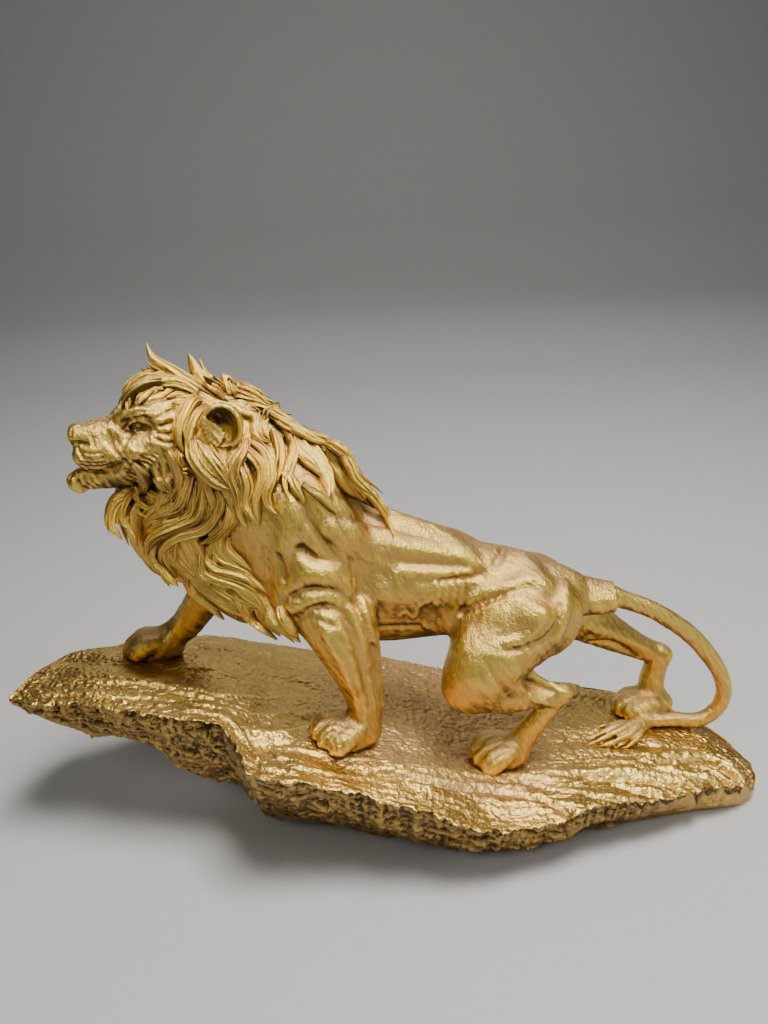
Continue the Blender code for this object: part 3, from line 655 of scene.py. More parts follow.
def carveSides(clay):
    for radius, height, places in flankStrokes:
        clay.trace(places, radius, height, mirrored=True)
    for radius, height, places in legStrokes:
        clay.trace(places, radius, height)
    for places in pawFolds:
        clay.trace(places, 1.0, -1.0, blend=1.2)
    for k in range(hairFan["count"]):
        u, v = (start + step * k for start, step in zip(hairFan["first"], hairFan["step"]))
        clay.trace([(u, v), (u + 4, v + 12), (u + 5 + 0.7 * k, v + 32)], hairFan["radius"], hairFan["depth"],
                   blend=1.2, mirrored=True)
    for k in range(groinFolds["count"]):
        u = groinFolds["first"] + groinFolds["step"] * k
        clay.trace([(u, 583), (u + 2, 592), (u + 1, 604)], groinFolds["radius"], groinFolds["height"],
                   mirrored=True)
    for k in range(elbowTuft["count"]):
        u, v = (start + step * k for start, step in zip(elbowTuft["first"], elbowTuft["step"]))
        clay.trace([(u, v), (u + 4, v - 2), (u + 8, v + 2)], elbowTuft["radius"], elbowTuft["height"],
                   blend=1.5)
    for path, radius, height in farLegStrokes:
        clay.stroke(path, -1, radius, height, limits=(6.0, 70.0))


def makeBody():
    clay = Clay((-206, -78, 22), (252, 72, 318), body["grain"])
    addTrunk(clay)
    addForelegs(clay)
    addHindlegs(clay)
    addTail(clay)
    carveSides(clay)
    points, faces = clay.skinMesh()
    points[:, 2] += lift
    piece = meshObject("lion_body", points, faces)
    soften(piece, 1)
    thinTo(piece, body["triangles"])
    comb(piece, body["hairDepth"])
    paintHollows(piece, 4, 0.42)
    return piece


def wander(x, y, z):
    return noise.noise(Vector((x, y, z)))


# Fine hair that runs back and down over the skin
def comb(piece, depth):
    mesh = piece.data
    spots, ways = coordinates(mesh), normals(mesh)
    for i, (x, y, z) in enumerate(spots / unit):
        along, across = 0.5 * x - 0.87 * z, 0.87 * x + 0.5 * z
        across += 3.0 * noise.noise(Vector((x, y, z)) / 30.0)
        hair = wander(across / 2.1, y / 3.0, along / 13.0)
        hair += 0.6 * wander(across / 4.6, y / 6.0, along / 24.0 + 5.0)
        spots[i] += ways[i] * (hair * depth * unit)
    moveTo(mesh, spots)


# The lion's head, in its own axes: ahead of the skull's centre, to the lion's right, and up

head = {
    "centre": (-124.0, -6.0, 281.0),
    "turn": 15.0,
    "grain": 0.8,
    "triangles": 150000,
    "hairDepth": 0.5,
    "ear": (-26.0, 29.0, 10.5),   # middle of the right one
    "eye": (21.0, 13.5, 12.2),
}


def fromHead(points):
    turn = math.radians(head["turn"])
    points = np.asarray(points, float)
    x = head["centre"][0] - points[..., 0] * math.cos(turn) - points[..., 1] * math.sin(turn)
    y = head["centre"][1] - points[..., 0] * math.sin(turn) + points[..., 1] * math.cos(turn)
    return np.stack([x, y, head["centre"][2] + points[..., 2]], -1)


# The middles of both ears, or of both eyes
def pairOf(name):
    ahead, aside, up = head[name]
    return [fromHead((ahead, side * aside, up)) for side in (-1, 1)]


def addSkull(clay):
    clay.ball((0, 0, 2), (31, 25, 24), blend=6)
    clay.ball((9, 0, 15), (20, 18, 16), blend=6)                   # under the forelock
    clay.limb([((16, 0, 7), 13), ((34, 0, 4.2), 11), ((50, 0, 4.0), 9.8)], blend=6)
    for side in (-1, 1):
        clay.limb([((26, side * 6, 8.5), 7.5), ((40, side * 5.4, 6.4), 7.0), ((53, side * 4.0, 5.6), 5.6)],
                  blend=5)
        clay.ball((44, side * 7.5, -3.6), (16.5, 9.4, 9.6), tilt=4, blend=4)     # whisker pad
        clay.ball((53, side * 4.8, -6.0), (7.4, 6.0, 7.6), blend=3)
        clay.ball((23, side * 16, -3), (15, 8.5, 9), tilt=12, blend=6)            # cheek
        clay.ball((6, side * 19, -11), (15, 8, 15), blend=7)
        clay.ball((28, side * 9, -15), (15, 8, 9), tilt=-6, blend=5)
    clay.ball((57.0, 0, 7.2), (5.0, 7.8, 6.4), blend=3)            # nose
    clay.limb([((8, 0, -15), 15.5), ((28, 0, -18.0), 11.6), ((47, 0, -20.0), 8.0)], blend=5)
    clay.ball((53, 0, -20.4), (7.6, 7.6, 5.4), blend=4)            # chin
    clay.limb([((55, 0, -16.0), 3.0), ((61.5, 0, -17.8), 3.2), ((64.4, 0, -22), 3.1), ((62.5, 0, -25.8), 2.6),
               ((58.5, 0, -26.6), 1.8)], blend=1.2)
    for side in (-1, 1):
        clay.limb([((55, side * 3.4, -16.0), 2.3), ((61.4, side * 4.0, -18.6), 2.5),
                   ((63.2, side * 4.2, -22.6), 2.4), ((60.6, side * 4.2, -26), 2.0),
                   ((57, side * 4.0, -26.4), 1.4)], blend=0.9)
        clay.ball((57.6, side * 2.6, -21.6), (5.4, 4.6, 4.9), tilt=24, blend=1.2)
        clay.ball((50.8, side * 4.0, -21.8), (5.6, 4.6, 4.4), tilt=24, blend=1.2)


# Strokes on each side of the head: path ahead and up, radius, height
faceStrokes = [
    ([(60, -9.8), (57, -11.4), (49.5, -12.6), (40, -11.8), (34, -8), (30.6, -4.6)], 1.5, -2.6),     # mouth
    ([(56, -13.6), (49, -15.0), (40, -14.6), (35, -12.0)], 0.9, -1.0),
    ([(57, -8.0), (50, -9.6), (41, -9.2), (35, -5.8)], 0.9, -1.1),
    ([(57, -5.6), (50, -7.2), (43, -6.8)], 0.8, -0.8),
    ([(56, -2.6), (49, -4.2), (43, -3.8)], 0.8, -0.7),
    ([(55, 0.6), (49, -1.2), (43, -0.8)], 0.7, -0.5),
    # chin tuft
    ([(60.5, -17.4), (59.4, -21.4), (56.0, -25.4)], 1.1, -1.3),
    ([(57.0, -17.4), (55.8, -21.4), (52.0, -25.6)], 1.0, -1.1),
    ([(53.4, -18.0), (51.8, -21.4), (48.4, -25.0)], 1.0, -1.1),
    # edge of the cheek
    ([(38, 10.4), (37.6, 3), (35.7, -1), (32, -6.3), (28, -10.7), (24, -15.5)], 1.8, -1.2),
    ([(35, 8), (33.6, 3), (31.5, -1.5), (27.5, -6), (22, -10.5)], 1.4, -0.8),
    # tear line
    ([(24.5, 8.6), (29, 4.8), (31.6, 1.5)], 1.3, -1.5),
    ([(26, 0), (20, -1.5), (14, 1)], 1.6, 1.2),
    ([(59, 5.2), (55, 4.6), (51, 3.8)], 1.2, -2.2),                                                 # nostril
    ([(57.5, 2.0), (55.6, -0.6), (54.8, -3.4)], 1.2, -1.6),
    ([(31, 13.5), (24, 17.2), (15, 18.4)], 1.2, -1.1),
    ([(28, 18), (21, 21.4), (12, 21.4)], 1.0, -0.9),
    ([(14, 17), (6, 18.4), (-3, 21)], 1.1, -1.0),
    ([(17, 24), (9, 25.5), (0, 26)], 1.1, -1.0),
    ([(9, 12.4), (1, 13.4), (-7, 16)], 1.1, -1.0),
    ([(11, 8.8), (6, 7.4), (1, 8.6)], 1.0, -1.1),
    ([(12, 5.6), (7, 3.0), (2, 2.6)], 1.0, -1.1),
]
cheekFur = {"count": 22, "first": (17, 3), "last": (34, -19), "radius": 0.8, "depth": -0.9}


def addFace(clay):
    for side in (-1, 1):
        clay.ball((22.0, side * 19.6, 12.8), (8.6, 6.8, 5.2), tilt=-8, blend=3.4, hollow=True)
        clay.ball((28.0, side * 14.2, 10.8), (4.2, 3.8, 2.8), blend=2.4, hollow=True)
        clay.ball((20.6, side * 11.4, 12.2), (4.0, 4.0, 4.0), blend=0.8)
        clay.limb([((28.0, side * 12.2, 10.8), 0.9), ((24.0, side * 15.7, 15.4), 1.3),
                   ((18.4, side * 17.0, 16.0), 1.6), ((11, side * 18.2, 11.0), 1.3)],
                  blend=1.0)     # upper lid
        clay.limb([((28.0, side * 12.2, 10.4), 0.8), ((22, side * 15.8, 8.4), 1.0),
                   ((16, side * 17.4, 8.2), 1.1), ((10.5, side * 18.6, 10.6), 1.0)],
                  blend=1.0)     # lower lid
        clay.limb([((33, side * 6.6, 15.6), 2.4), ((26, side * 13.0, 19.2), 3.2),
                   ((16, side * 17.6, 20.2), 3.0), ((7, side * 20.4, 16.0), 2.2)], blend=3.4)     # brow
        clay.ball((60.2, side * 4.4, 4.6), (3.2, 2.4, 1.6), turn=side * 20, blend=1.0, hollow=True)
        for path, radius, height in faceStrokes:
            clay.stroke(path, side, radius, height, blend=1.4)
        for k in range(cheekFur["count"]):
            share = k / (cheekFur["count"] - 1)
            first, last = np.array(cheekFur["first"]), np.array(cheekFur["last"])
            root = first + (last - first) * share
            bend = root + (-8 + 3.5 * share, -5 + 1.5 * math.sin(3 * k))
            tip = root + (-9 + 4 * share + 1.5 * math.sin(5 * k), -17 + 8 * share)
            clay.stroke([root, bend, tip], side, cheekFur["radius"], cheekFur["depth"], blend=1.2)
    clay.limb([((61.6, 0, 2.5), 0.8), ((62.4, 0, -4.0), 1.1), ((61.0, 0, -10.5), 1.2)], blend=1.2,
              hollow=True)
    clay.limb([((61.5, -5, -12.0), 1.2), ((62.6, 0, -11.0), 1.4), ((61.5, 5, -12.0), 1.2)], blend=1.2,
              hollow=True)
    clay.limb([((50, 0, 14.8), 0.7), ((40, 0, 16.2), 1.0), ((31, 0, 19.4), 1.2)], blend=2.6, hollow=True)


def addEars(clay):
    for side in (-1, 1):
        centre = np.array((head["ear"][0], side * head["ear"][1], head["ear"][2]))
        turn = side * 72.0
        out = np.array((math.cos(math.radians(turn)), math.sin(math.radians(turn)), 0.0))
        aside = np.array((-out[1], out[0], 0.0))
        clay.ball(centre, (8.5, 12.4, 13.6), turn=turn, blend=3)
        clay.ball(centre + out * 6.0, (11.5, 10.4, 11.8), turn=turn, blend=1.0, hollow=True)
        clay.ball(centre + out * 1.0 - (0, 0, 2), (8.0, 7.4, 8.4), turn=turn, blend=1.5, hollow=True)
        rim = []
        for k in range(15):
            angle = math.radians(-62 + 236 * k / 14)
            place = centre + out * (4.2 - 1.8 * math.sin(angle)) + aside * side * math.cos(angle) * 11.4
            rim.append(((*place[:2], place[2] + math.sin(angle) * 12.6), 1.3 if 0 < k < 14 else 0.8))
        clay.limb(rim, blend=1.2, steps=34)
        for k in range(8):                                          # tufts inside the ear
            angle = math.radians(152 + 14 * k)
            foot = centre + aside * side * math.cos(angle) * 10.4 + np.array((0, 0, math.sin(angle) * 11.6))
            tip = centre + aside * side * (k - 5.0) * 0.8 + np.array((0, 0, 1.0 - 0.8 * k))
            clay.limb([(foot + out * 4.4, 1.1), (foot * 0.55 + tip * 0.45 + out * 3.2, 0.9),
                       (tip + out * 0.4, 0.5)], blend=0.9)


def makeHead():
    clay = Clay((-46, -46, -44), (72, 46, 42), head["grain"])
    addSkull(clay)
    addFace(clay)
    addEars(clay)
    points, faces = clay.skinMesh()
    # The head's axes are left-handed, so its faces are turned over
    piece = meshObject("lion_head", fromHead(points) + (0, 0, lift), faces[:, ::-1])
    soften(piece, 1)
    thinTo(piece, head["triangles"])
    comb(piece, head["hairDepth"])
    paintHollows(piece, 4, 0.20, pairOf("eye"))
    return piece


# The mane. Locks are drawn from root to tip in the photograph's frame, 768 wide and 1024 high,
# and laid on the form where the camera sees them: width in millimetres, then the places in pixels

mane = {
    "thickness": 6.4,
    "rings": 26,
    "crownPoints": 23,      # points across a lock's crown
    "strands": 4,
    "grooves": 0.42,        # depth of the grooves between strands, as a share of the thickness
    "seed": 11,
    "undercoat": 0.8,       # thickness of the side's rows, as a share
    "topThickness": 4.6,    # of the rows along the ridge
    "frontThickness": 5.4,  # of the rows down the chest
    "besideRoots": 52.0,    # the planes that the rows' roots are set out in: beside the lion,
    "aboveRoots": 345.0,    # above it
    "beforeRoots": -160.0,  # and before its chest
    "earRoom": 15.0,        # no row comes nearer to the middle of an ear
    "farReach": 17.0,       # a far lock that lies further off the form is left out
    "ridge": -7.0,          # a lock whose middle lies beyond this is on the ridge and has no twin
}
crownLocks = [
    (9.5, [(214, 402), (196, 388), (178, 377), (163, 368), (152, 360), (147, 345)]),
    (9, [(224, 402), (210, 390), (199, 378), (193, 368), (188, 356)]),
    (7, [(236, 400), (230, 390), (226, 382), (222, 374)]),
    (6, [(205, 396), (188, 384), (174, 374), (166, 368), (161, 361)]),
    (5, [(168, 380), (156, 375), (148, 373), (141, 370)]),
]
fringeLocks = [
    (7, [(232, 402), (222, 390), (210, 379), (200, 370)]),
    (7, [(244, 396), (236, 388), (230, 381), (227, 375)]),
    (8, [(212, 404), (196, 394), (180, 389), (168, 393), (160, 399)]),
    (6.5, [(204, 407), (190, 399), (176, 396), (165, 399)]),
    (6, [(200, 411), (190, 405), (180, 402), (171, 404)]),
    (7.5, [(198, 393), (182, 385), (170, 383), (160, 388), (155, 395)]),
    (7.5, [(160, 377), (147, 378), (134, 385), (126, 394), (122, 405)]),
    (6.5, [(162, 383), (149, 385), (138, 392), (131, 401), (128, 411)]),
    (6, [(163, 389), (152, 391), (144, 398), (139, 406)]),
    (5.5, [(172, 380), (160, 380), (150, 384), (143, 390)]),
]
templeLocks = [
    (7.5, [(206, 403), (192, 405), (182, 414), (178, 427), (178, 440), (183, 452)]),
    (6, [(208, 410), (196, 414), (189, 424), (186, 437), (190, 449), (198, 459)]),
    (5, [(180, 447), (179, 456), (183, 465), (192, 467)]),
    (9.5, [(187, 438), (193, 452), (203, 466), (216, 479), (230, 486), (242, 489)]),
    (7.5, [(198, 440), (208, 455), (219, 469), (230, 482), (240, 498)]),
    (7, [(206, 446), (216, 460), (226, 474), (236, 488), (241, 500)]),
    (8, [(238, 436), (240, 447), (232, 458), (228, 470), (233, 484), (241, 498), (243, 513), (250, 527)]),
    (7, [(226, 452), (222, 462), (226, 474), (234, 487), (236, 500)]),
]
neckLocks = [
    (7, [(246, 440), (244, 450), (237, 462), (236, 474), (243, 486), (246, 500)]),
    (7.5, [(240, 446), (250, 457), (262, 468), (265, 482), (258, 496), (258, 510), (262, 522)]),
    (7, [(250, 442), (262, 452), (270, 466), (272, 480), (266, 494), (270, 507), (280, 514)]),
    (9, [(236, 462), (243, 474), (247, 488), (247, 502), (253, 514), (262, 524)]),
    (7, [(254, 412), (253, 424), (255, 436), (262, 443), (270, 444)]),
    (8, [(280, 408), (268, 412), (261, 421), (261, 432), (267, 442)]),
    (7, [(276, 414), (280, 427), (288, 439), (293, 452), (289, 466), (284, 480), (285, 492), (290, 503)]),
    (6, [(268, 428), (276, 442), (282, 456), (281, 470), (276, 484)]),
    (7, [(286, 424), (292, 438), (302, 452), (314, 466), (322, 480), (325, 498)]),
    (7, [(296, 436), (308, 450), (320, 465), (327, 480), (328, 494)]),
    (6.5, [(290, 442), (300, 456), (310, 466), (321, 479)]),
    (4.5, [(288, 440), (294, 452), (303, 463), (313, 473), (321, 482)]),
    (4.5, [(306, 442), (316, 454), (323, 466), (328, 480), (328, 495)]),
    (5, [(312, 446), (324, 460), (334, 476), (344, 492), (356, 500)]),
    (8.5, [(304, 434), (318, 448), (332, 466), (343, 482), (356, 496), (372, 511)]),
    (8, [(310, 440), (326, 455), (341, 471), (352, 487), (364, 501)]),
    (8, [(326, 441), (340, 450), (350, 460), (354, 474)]),
    (8, [(338, 450), (350, 465), (357, 480), (370, 491), (380, 502)]),
    (7, [(348, 472), (359, 488), (372, 501), (383, 516)]),
    (8, [(328, 446), (342, 460), (352, 477), (364, 491), (377, 503), (386, 519)]),
    (9, [(320, 441), (334, 454), (347, 470), (357, 484), (371, 496), (382, 508), (389, 524), (393, 538)]),
]
napeLocks = [
    (8.5, [(236, 387), (250, 393), (261, 400), (271, 408)]),
    (8.5, [(230, 398), (246, 401), (260, 405), (272, 412)]),
    (7.5, [(228, 407), (242, 409), (256, 414), (267, 414)]),
    (7.5, [(266, 409), (276, 416), (288, 421), (298, 424)]),
    (8, [(272, 416), (286, 425), (300, 433), (318, 441)]),
    (8, [(282, 422), (296, 431), (312, 440), (330, 446)]),
    (8, [(300, 437), (318, 442), (334, 449), (348, 459)]),
]
throatLocks = [
    (8, [(130, 487), (117, 497), (111, 510), (112, 525), (122, 537)]),
    (6.5, [(134, 490), (125, 503), (121, 517), (127, 531)]),
    (7.5, [(138, 494), (130, 510), (131, 527), (140, 547)]),
    (6.5, [(146, 498), (140, 514), (141, 530), (146, 545)]),
    (4.5, [(126, 488), (134, 500), (142, 511), (151, 517)]),
    (4.5, [(134, 486), (142, 498), (150, 508), (160, 510)]),
    (5, [(148, 486), (158, 496), (168, 496), (177, 488)]),
    (6, [(180, 476), (178, 490), (168, 502), (154, 509), (144, 514)]),
    (8.5, [(190, 474), (188, 490), (180, 505), (164, 514), (148, 520)]),
    (8, [(196, 486), (196, 502), (186, 516), (166, 523), (150, 528)]),
    (9.5, [(203, 480), (204, 498), (196, 513), (178, 523), (160, 531), (152, 542), (153, 552)]),
    (6.5, [(212, 486), (214, 504), (206, 519), (188, 528), (170, 534)]),
    (9.5, [(218, 484), (224, 500), (216, 518), (198, 529), (177, 534), (164, 545), (164, 556), (173, 567)]),
    (7.5, [(228, 498), (233, 512), (228, 526), (214, 536), (198, 541)]),
    (6.5, [(236, 506), (235, 518), (226, 532), (212, 541)]),
    (6.5, [(158, 540), (157, 553), (163, 566), (172, 577), (180, 585)]),
    (6.5, [(168, 538), (167, 551), (173, 563), (181, 571), (188, 577)]),
    (5, [(176, 538), (177, 552), (174, 566)]),
    (6, [(161, 556), (165, 569), (171, 578), (177, 584)]),
]
chestLocks = [
    (8.5, [(198, 538), (199, 554), (208, 569), (224, 577), (242, 583), (262, 598)]),
    (7, [(208, 542), (210, 556), (220, 567), (237, 572), (251, 578), (258, 592)]),
    (6, [(218, 538), (219, 552), (230, 562), (245, 568), (256, 577)]),
    (5.5, [(228, 536), (230, 548), (240, 558), (253, 569)]),
    (8, [(190, 560), (192, 576), (202, 592), (216, 604), (226, 618)]),
    (7, [(198, 562), (206, 580), (220, 592), (232, 604), (238, 616)]),
    (6.5, [(210, 578), (224, 588), (236, 596), (241, 610)]),
    (7, [(228, 584), (240, 598), (250, 612), (262, 626), (278, 638)]),
    (6.5, [(242, 594), (250, 608), (258, 621)]),
    (7, [(256, 598), (264, 614), (274, 628), (281, 635)]),
    (7, [(268, 602), (278, 618), (290, 630), (303, 641)]),
    (6.5, [(280, 606), (290, 620), (302, 634)]),
]
# Rows of locks below and beyond the drawn ones: first and last root, first and last heading, turn on
# the way, length, lift of the tip, count, width
sideRows = [
    ((-96, 312), (-76, 302), -8, -20, -28, 62, 2, 4, 8),
    ((-80, 300), (-52, 276), -40, -36, -22, 30, 0.5, 5, 7),
    ((-106, 280), (-88, 272), -56, -66, -18, 34, 2, 4, 8),
    ((-122, 282), (-102, 262), -62, -66, -85, 80, 3, 5, 9),
    ((-146, 262), (-126, 256), -84, -72, -62, 48, 3, 5, 8),
    ((-148, 228), (-112, 240), -84, -78, 62, 74, 3, 7, 9),
    ((-128, 198), (-102, 204), -62, -58, 38, 56, 4, 5, 8),
]
topRows = [
    ((-150, 6), (-132, 20), 8, 14, 10, 46, 3, 4, 8),
    ((-112, 5), (-104, 22), 2, 4, 8, 46, 3, 4, 9),
    ((-76, 5), (-70, 22), 0, 4, 4, 46, 1.5, 4, 9),
    ((-50, 6), (-44, 18), 0, 2, -2, 40, 0, 3, 8),
]
frontRows = [
    ((3, 245), (17, 247), -88, -80, -40, 34, 3, 4, 8),
    ((5, 232), (26, 231), -88, -78, -40, 36, 4, 4, 9),
    ((4, 222), (28, 220), -92, -84, -26, 42, 6, 4, 9),
    ((7, 204), (28, 202), -90, -80, 30, 36, 3.5, 4, 9),
    ((4, 190), (26, 186), -92, -86, -20, 30, 2, 4, 8),
    ((5, 178), (22, 176), -92, -88, 18, 20, 1.5, 3, 7),
]


class Hair:
    def __init__(self, tree, seed, rings, crownPoints):
        self.tree = tree
        self.chance = random.Random(seed)
        self.rings = rings
        self.crownPoints = crownPoints
        self.points = []
        self.faces = []
        self.hollow = []
        self.count = 0

    # Places on the form under the drawn ones; beyond its outline they keep the depth of the last one on it
    def drawn(self, places):
        eye = Vector(view["place"]) / unit - Vector((0, 0, lift))
        ahead = -Vector(view["back"])
        hits = []
        for u, v in places:
            ray = eyeRay(u, v)
            spot, normal, _, _ = self.tree.ray_cast(eye, ray)
            hits.append((ray, spot, normal))
        depths = [(h[1] - eye).dot(ahead) if h[1] else None for h in hits]
        for i in range(1, len(hits)):
            if depths[i] is not None and depths[i - 1] is not None and depths[i] - depths[i - 1] > 22:
                depths[i] = None
        for i in reversed(range(len(hits) - 1)):  # a glimpse of the far side beyond the ridge
            if None not in depths[i:i + 2] and hits[i][1].y > 8 and depths[i] - depths[i + 1] > 16:
                depths[i] = None
        known = [i for i, d in enumerate(depths) if d is not None]
        line = []
        for i, (ray, spot, normal) in enumerate(hits):
            touching = depths[i] is not None
            if not touching:
                near = min(known, key=lambda k: abs(k - i)) if known else None
                depth = depths[near] if known else (Vector(head["centre"]) - eye).dot(ahead)
                spot = eye + ray * (depth / ray.dot(ahead))
                normal = ((hits[near][2] if known else Vector((0, 0, 0.5))) - ray * 1.5).normalized()
            line.append((np.array(spot), np.array(normal), touching))
        return line

    # The same lock on the far side: mirrored in a plane, then laid on the form there
    def mirrored(self, line, centre, across, close):
        moved = []
        shift, furthest = np.zeros(3), 0.0
        for spot, normal, touching in line:
            spot = spot - 2 * np.dot(spot - centre, across) * across
            normal = normal - 2 * np.dot(normal, across) * across
            if touching or close:
                found, way, _, _ = self.tree.find_nearest(Vector(spot))
                shift = np.array(found) - spot
                normal = np.array(way)
                furthest = max(furthest, np.linalg.norm(shift))
            moved.append((spot + shift, normal, touching))
        return moved, furthest

    # A line that starts at a root and runs over the form by a heading in the plane of two axes
    def combed(self, root, axes, heading, bend, length):
        spot, normal, _, _ = self.tree.find_nearest(Vector(root))
        line = []
        steps = 16
        for k in range(steps):
            line.append((np.array(spot), np.array(normal), True))
            angle = math.radians(heading + bend * k / (steps - 1))
            ahead = axes[0] * math.cos(angle) + axes[1] * math.sin(angle)
            ahead = ahead - normal * ahead.dot(normal)
            if ahead.length < 0.05:
                break
            ahead.normalize()
            spot, normal, _, _ = self.tree.find_nearest(spot + ahead * (length / (steps - 1)))
        return line

    def laid(self, line, rise, lift):
        rows = np.array([(*spot, *normal) for spot, normal, _ in line])
        path = smoothPath(rows, self.rings)
        spots, ways = path[:, :3], path[:, 3:]
        for _ in range(4):
            ways[1:-1] = (ways[:-2] + ways[1:-1] + ways[2:]) / 3
            spots[1:-1] = (spots[:-2] + 2 * spots[1:-1] + spots[2:]) / 4
        ways = ways / np.linalg.norm(ways, axis=1)[:, None]
        share = np.linspace(0, 1, self.rings)[:, None]
        away = rise * np.sin(math.pi * np.minimum(share * 1.6, 0.5)) + lift * share ** 2.4
        return spots + ways * away, ways

    # A lock: grooved sections that swell after the root, roll a little and close to a point
    def lock(self, spots, ways, width, thickness, strands, roll=0.0):
        rows = len(spots)
        chance = self.chance
        share = np.linspace(0, 1, rows)[:, None]
        ahead = np.gradient(spots, axis=0)
        ahead /= np.linalg.norm(ahead, axis=1)[:, None] + 1e-9
        aside = np.cross(ahead, ways)
        aside /= np.linalg.norm(aside, axis=1)[:, None] + 1e-9
        out = np.cross(aside, ahead)
        turn = math.radians(roll) * (share - 0.35)
        aside, out = aside * np.cos(turn) + out * np.sin(turn), out * np.cos(turn) - aside * np.sin(turn)
        taper = (1.0 - share ** 3.0) ** 0.85
        swell = np.minimum(0.55 + 1.5 * share, 1.0) * taper + 0.02
        half = width / 2 * swell
        high = thickness * (0.45 + 0.55 * np.minimum(share * 4, 1.0)) * (0.15 + 0.85 * taper)
        theta = np.linspace(math.pi * 1.08, -0.08 * math.pi, self.crownPoints)[None, :]
        across, hump = np.cos(theta), np.maximum(np.sin(theta), -0.3)
        hump = np.sign(hump) * np.abs(hump) ** 0.75
        phase = chance.uniform(0, 1)
        slide = across + chance.uniform(-0.35, 0.35) * share + 0.10 * np.sin(7 * share + 6 * phase)
        comb = np.abs(np.sin(math.pi * (strands * (slide + 1) / 2 + phase)))
        fine = np.abs(np.sin(math.pi * (strands * 2.3 * (slide + 1) / 2 + 2 * phase)))
        groove = (1 - comb ** 0.6) * 0.75 + (1 - fine ** 0.5) * 0.25
        crest = 1.0 + 0.18 * np.sin(2.1 * math.pi * slide + 5 * phase)
        up = hump * crest - mane["grooves"] * groove * np.maximum(hump, 0)
        ring = (spots[:, None, :] + aside[:, None, :] * (half * across)[..., None]
                + out[:, None, :] * (high * up)[..., None])
        under = (spots[:, None, :] + aside[:, None, :] * (half * np.array([[0.6, 0.0, -0.6]]))[..., None]
                 - out[:, None, :] * (high * 0.45)[:, :, None])
        ring = np.concatenate([ring, under], 1)
        # Painted shade: darker in the grooves, towards the root and all along the underside
        depth = 0.35 + 0.75 * groove - 0.30 * hump + 0.35 * (1 - share) ** 3
        depth = np.concatenate([depth, np.ones((rows, 3))], 1)
        size = ring.shape[1]
        index = np.arange(rows * size).reshape(rows, size) + self.count
        nextPoint = np.roll(index, -1, axis=1)
        quads = np.stack([index[:-1], nextPoint[:-1], nextPoint[1:], index[1:]], -1).reshape(-1, 4)
        self.points.append(ring.reshape(-1, 3))
        self.faces.extend(quads.tolist())
        self.faces.append(index[0][::-1].tolist())
        self.faces.append(index[-1].tolist())
        self.hollow.append(np.clip(depth, 0, 1).reshape(-1))
        self.count += rows * size

    def fullLock(self, line, width, rise, lift, thickness):
        chance = self.chance
        spots, ways = self.laid(line, rise, lift)
        strands = max(2, round(mane["strands"] * width / 8))
        self.lock(spots, ways, width, thickness, strands, chance.uniform(-30, 30))
        ahead = np.gradient(spots, axis=0)
        aside = np.cross(ahead, ways)
        aside /= np.linalg.norm(aside, axis=1)[:, None] + 1e-9
        share = np.linspace(0, 1, self.rings)[:, None]
        for side in (-1, 1):  # a thinner strand along each edge, parting near the tip
            if chance.random() < 0.35:
                continue
            drift = side * width * (0.36 + chance.uniform(0.0, 0.30) * share ** 2)
            path = spots + aside * drift + ways * (0.8 + chance.uniform(-0.5, 1.0) * share ** 2)
            reach = int(self.rings * chance.uniform(0.75, 1.0))
            self.lock(path[:reach], ways[:reach], width * 0.34, thickness * 0.62, 1)


def growDrawn(hair, locks, rise, lift, side, plane="lion", bulk=1.0, close=False):
    centre, across = np.array((0.0, 0.0, 0.0)), np.array((0.0, 1.0, 0.0))
    if plane == "head":
        turn = math.radians(head["turn"])
        centre = np.array(head["centre"])
        across = np.array((-math.sin(turn), math.cos(turn), 0.0))
    for width, places in locks:
        line = hair.drawn(places)
        if side > 0:
            if plane == "lion" and np.mean([spot[1] for spot, _, _ in line]) > mane["ridge"]:
                continue
            line, furthest = hair.mirrored(line, centre, across, close)
            if furthest > mane["farReach"]:
                continue
        spare = hair.chance.uniform(0.9, 1.1)
        thickness = mane["thickness"] * bulk * min(width / 8, 1.15)
        hair.fullLock(line, width, rise * spare, lift * spare, thickness)


# Rows whose roots are set out from start along two axes, and then dropped on the form
def growRows(hair, rows, start, axes, thickness):
    ears = pairOf("ear")
    chance = hair.chance
    start, axes = Vector(start), [Vector(axis) for axis in axes]
    for first, last, headA, headB, bend, length, lift, count, width in rows:
        for k in range(count):
            share = k / max(count - 1, 1)
            a = first[0] + (last[0] - first[0]) * share + chance.uniform(-1.5, 1.5)
            b = first[1] + (last[1] - first[1]) * share + chance.uniform(-1.5, 1.5)
            heading = headA + (headB - headA) * share + chance.uniform(-5, 5)
            line = hair.combed(start + axes[0] * a + axes[1] * b, axes, heading,
                               bend * chance.uniform(0.85, 1.15), length * chance.uniform(0.88, 1.1))
            spots, ways = hair.laid(line, 0.5, lift)
            if min(np.linalg.norm(spots - ear, axis=1).min() for ear in ears) < mane["earRoom"]:
                continue
            hair.lock(spots, ways, width, thickness, 3, chance.uniform(-25, 25))


# The form that carries the hair, without the ears
def skinTree(*pieces):
    ears = [Vector(ear) for ear in pairOf("ear")]
    points, faces = [], []
    for piece in pieces:
        start = len(points)
        spots = [v.co / unit - Vector((0, 0, lift)) for v in piece.data.vertices]
        kept = [piece is not lionHead or min((spot - ear).length for ear in ears) > mane["earRoom"]
                for spot in spots]
        points.extend(spots)
        faces.extend([[i + start for i in p.vertices] for p in piece.data.polygons
                      if all(kept[i] for i in p.vertices)])
    return BVHTree.FromPolygons(points, faces)


def hairObject(name, hair):
    piece = meshObject(name, np.concatenate(hair.points) + (0, 0, lift), hair.faces)
    paint(piece.data, "hollow", np.concatenate(hair.hollow))
    print(name, "triangles", triangleCount(piece.data))
    return piece


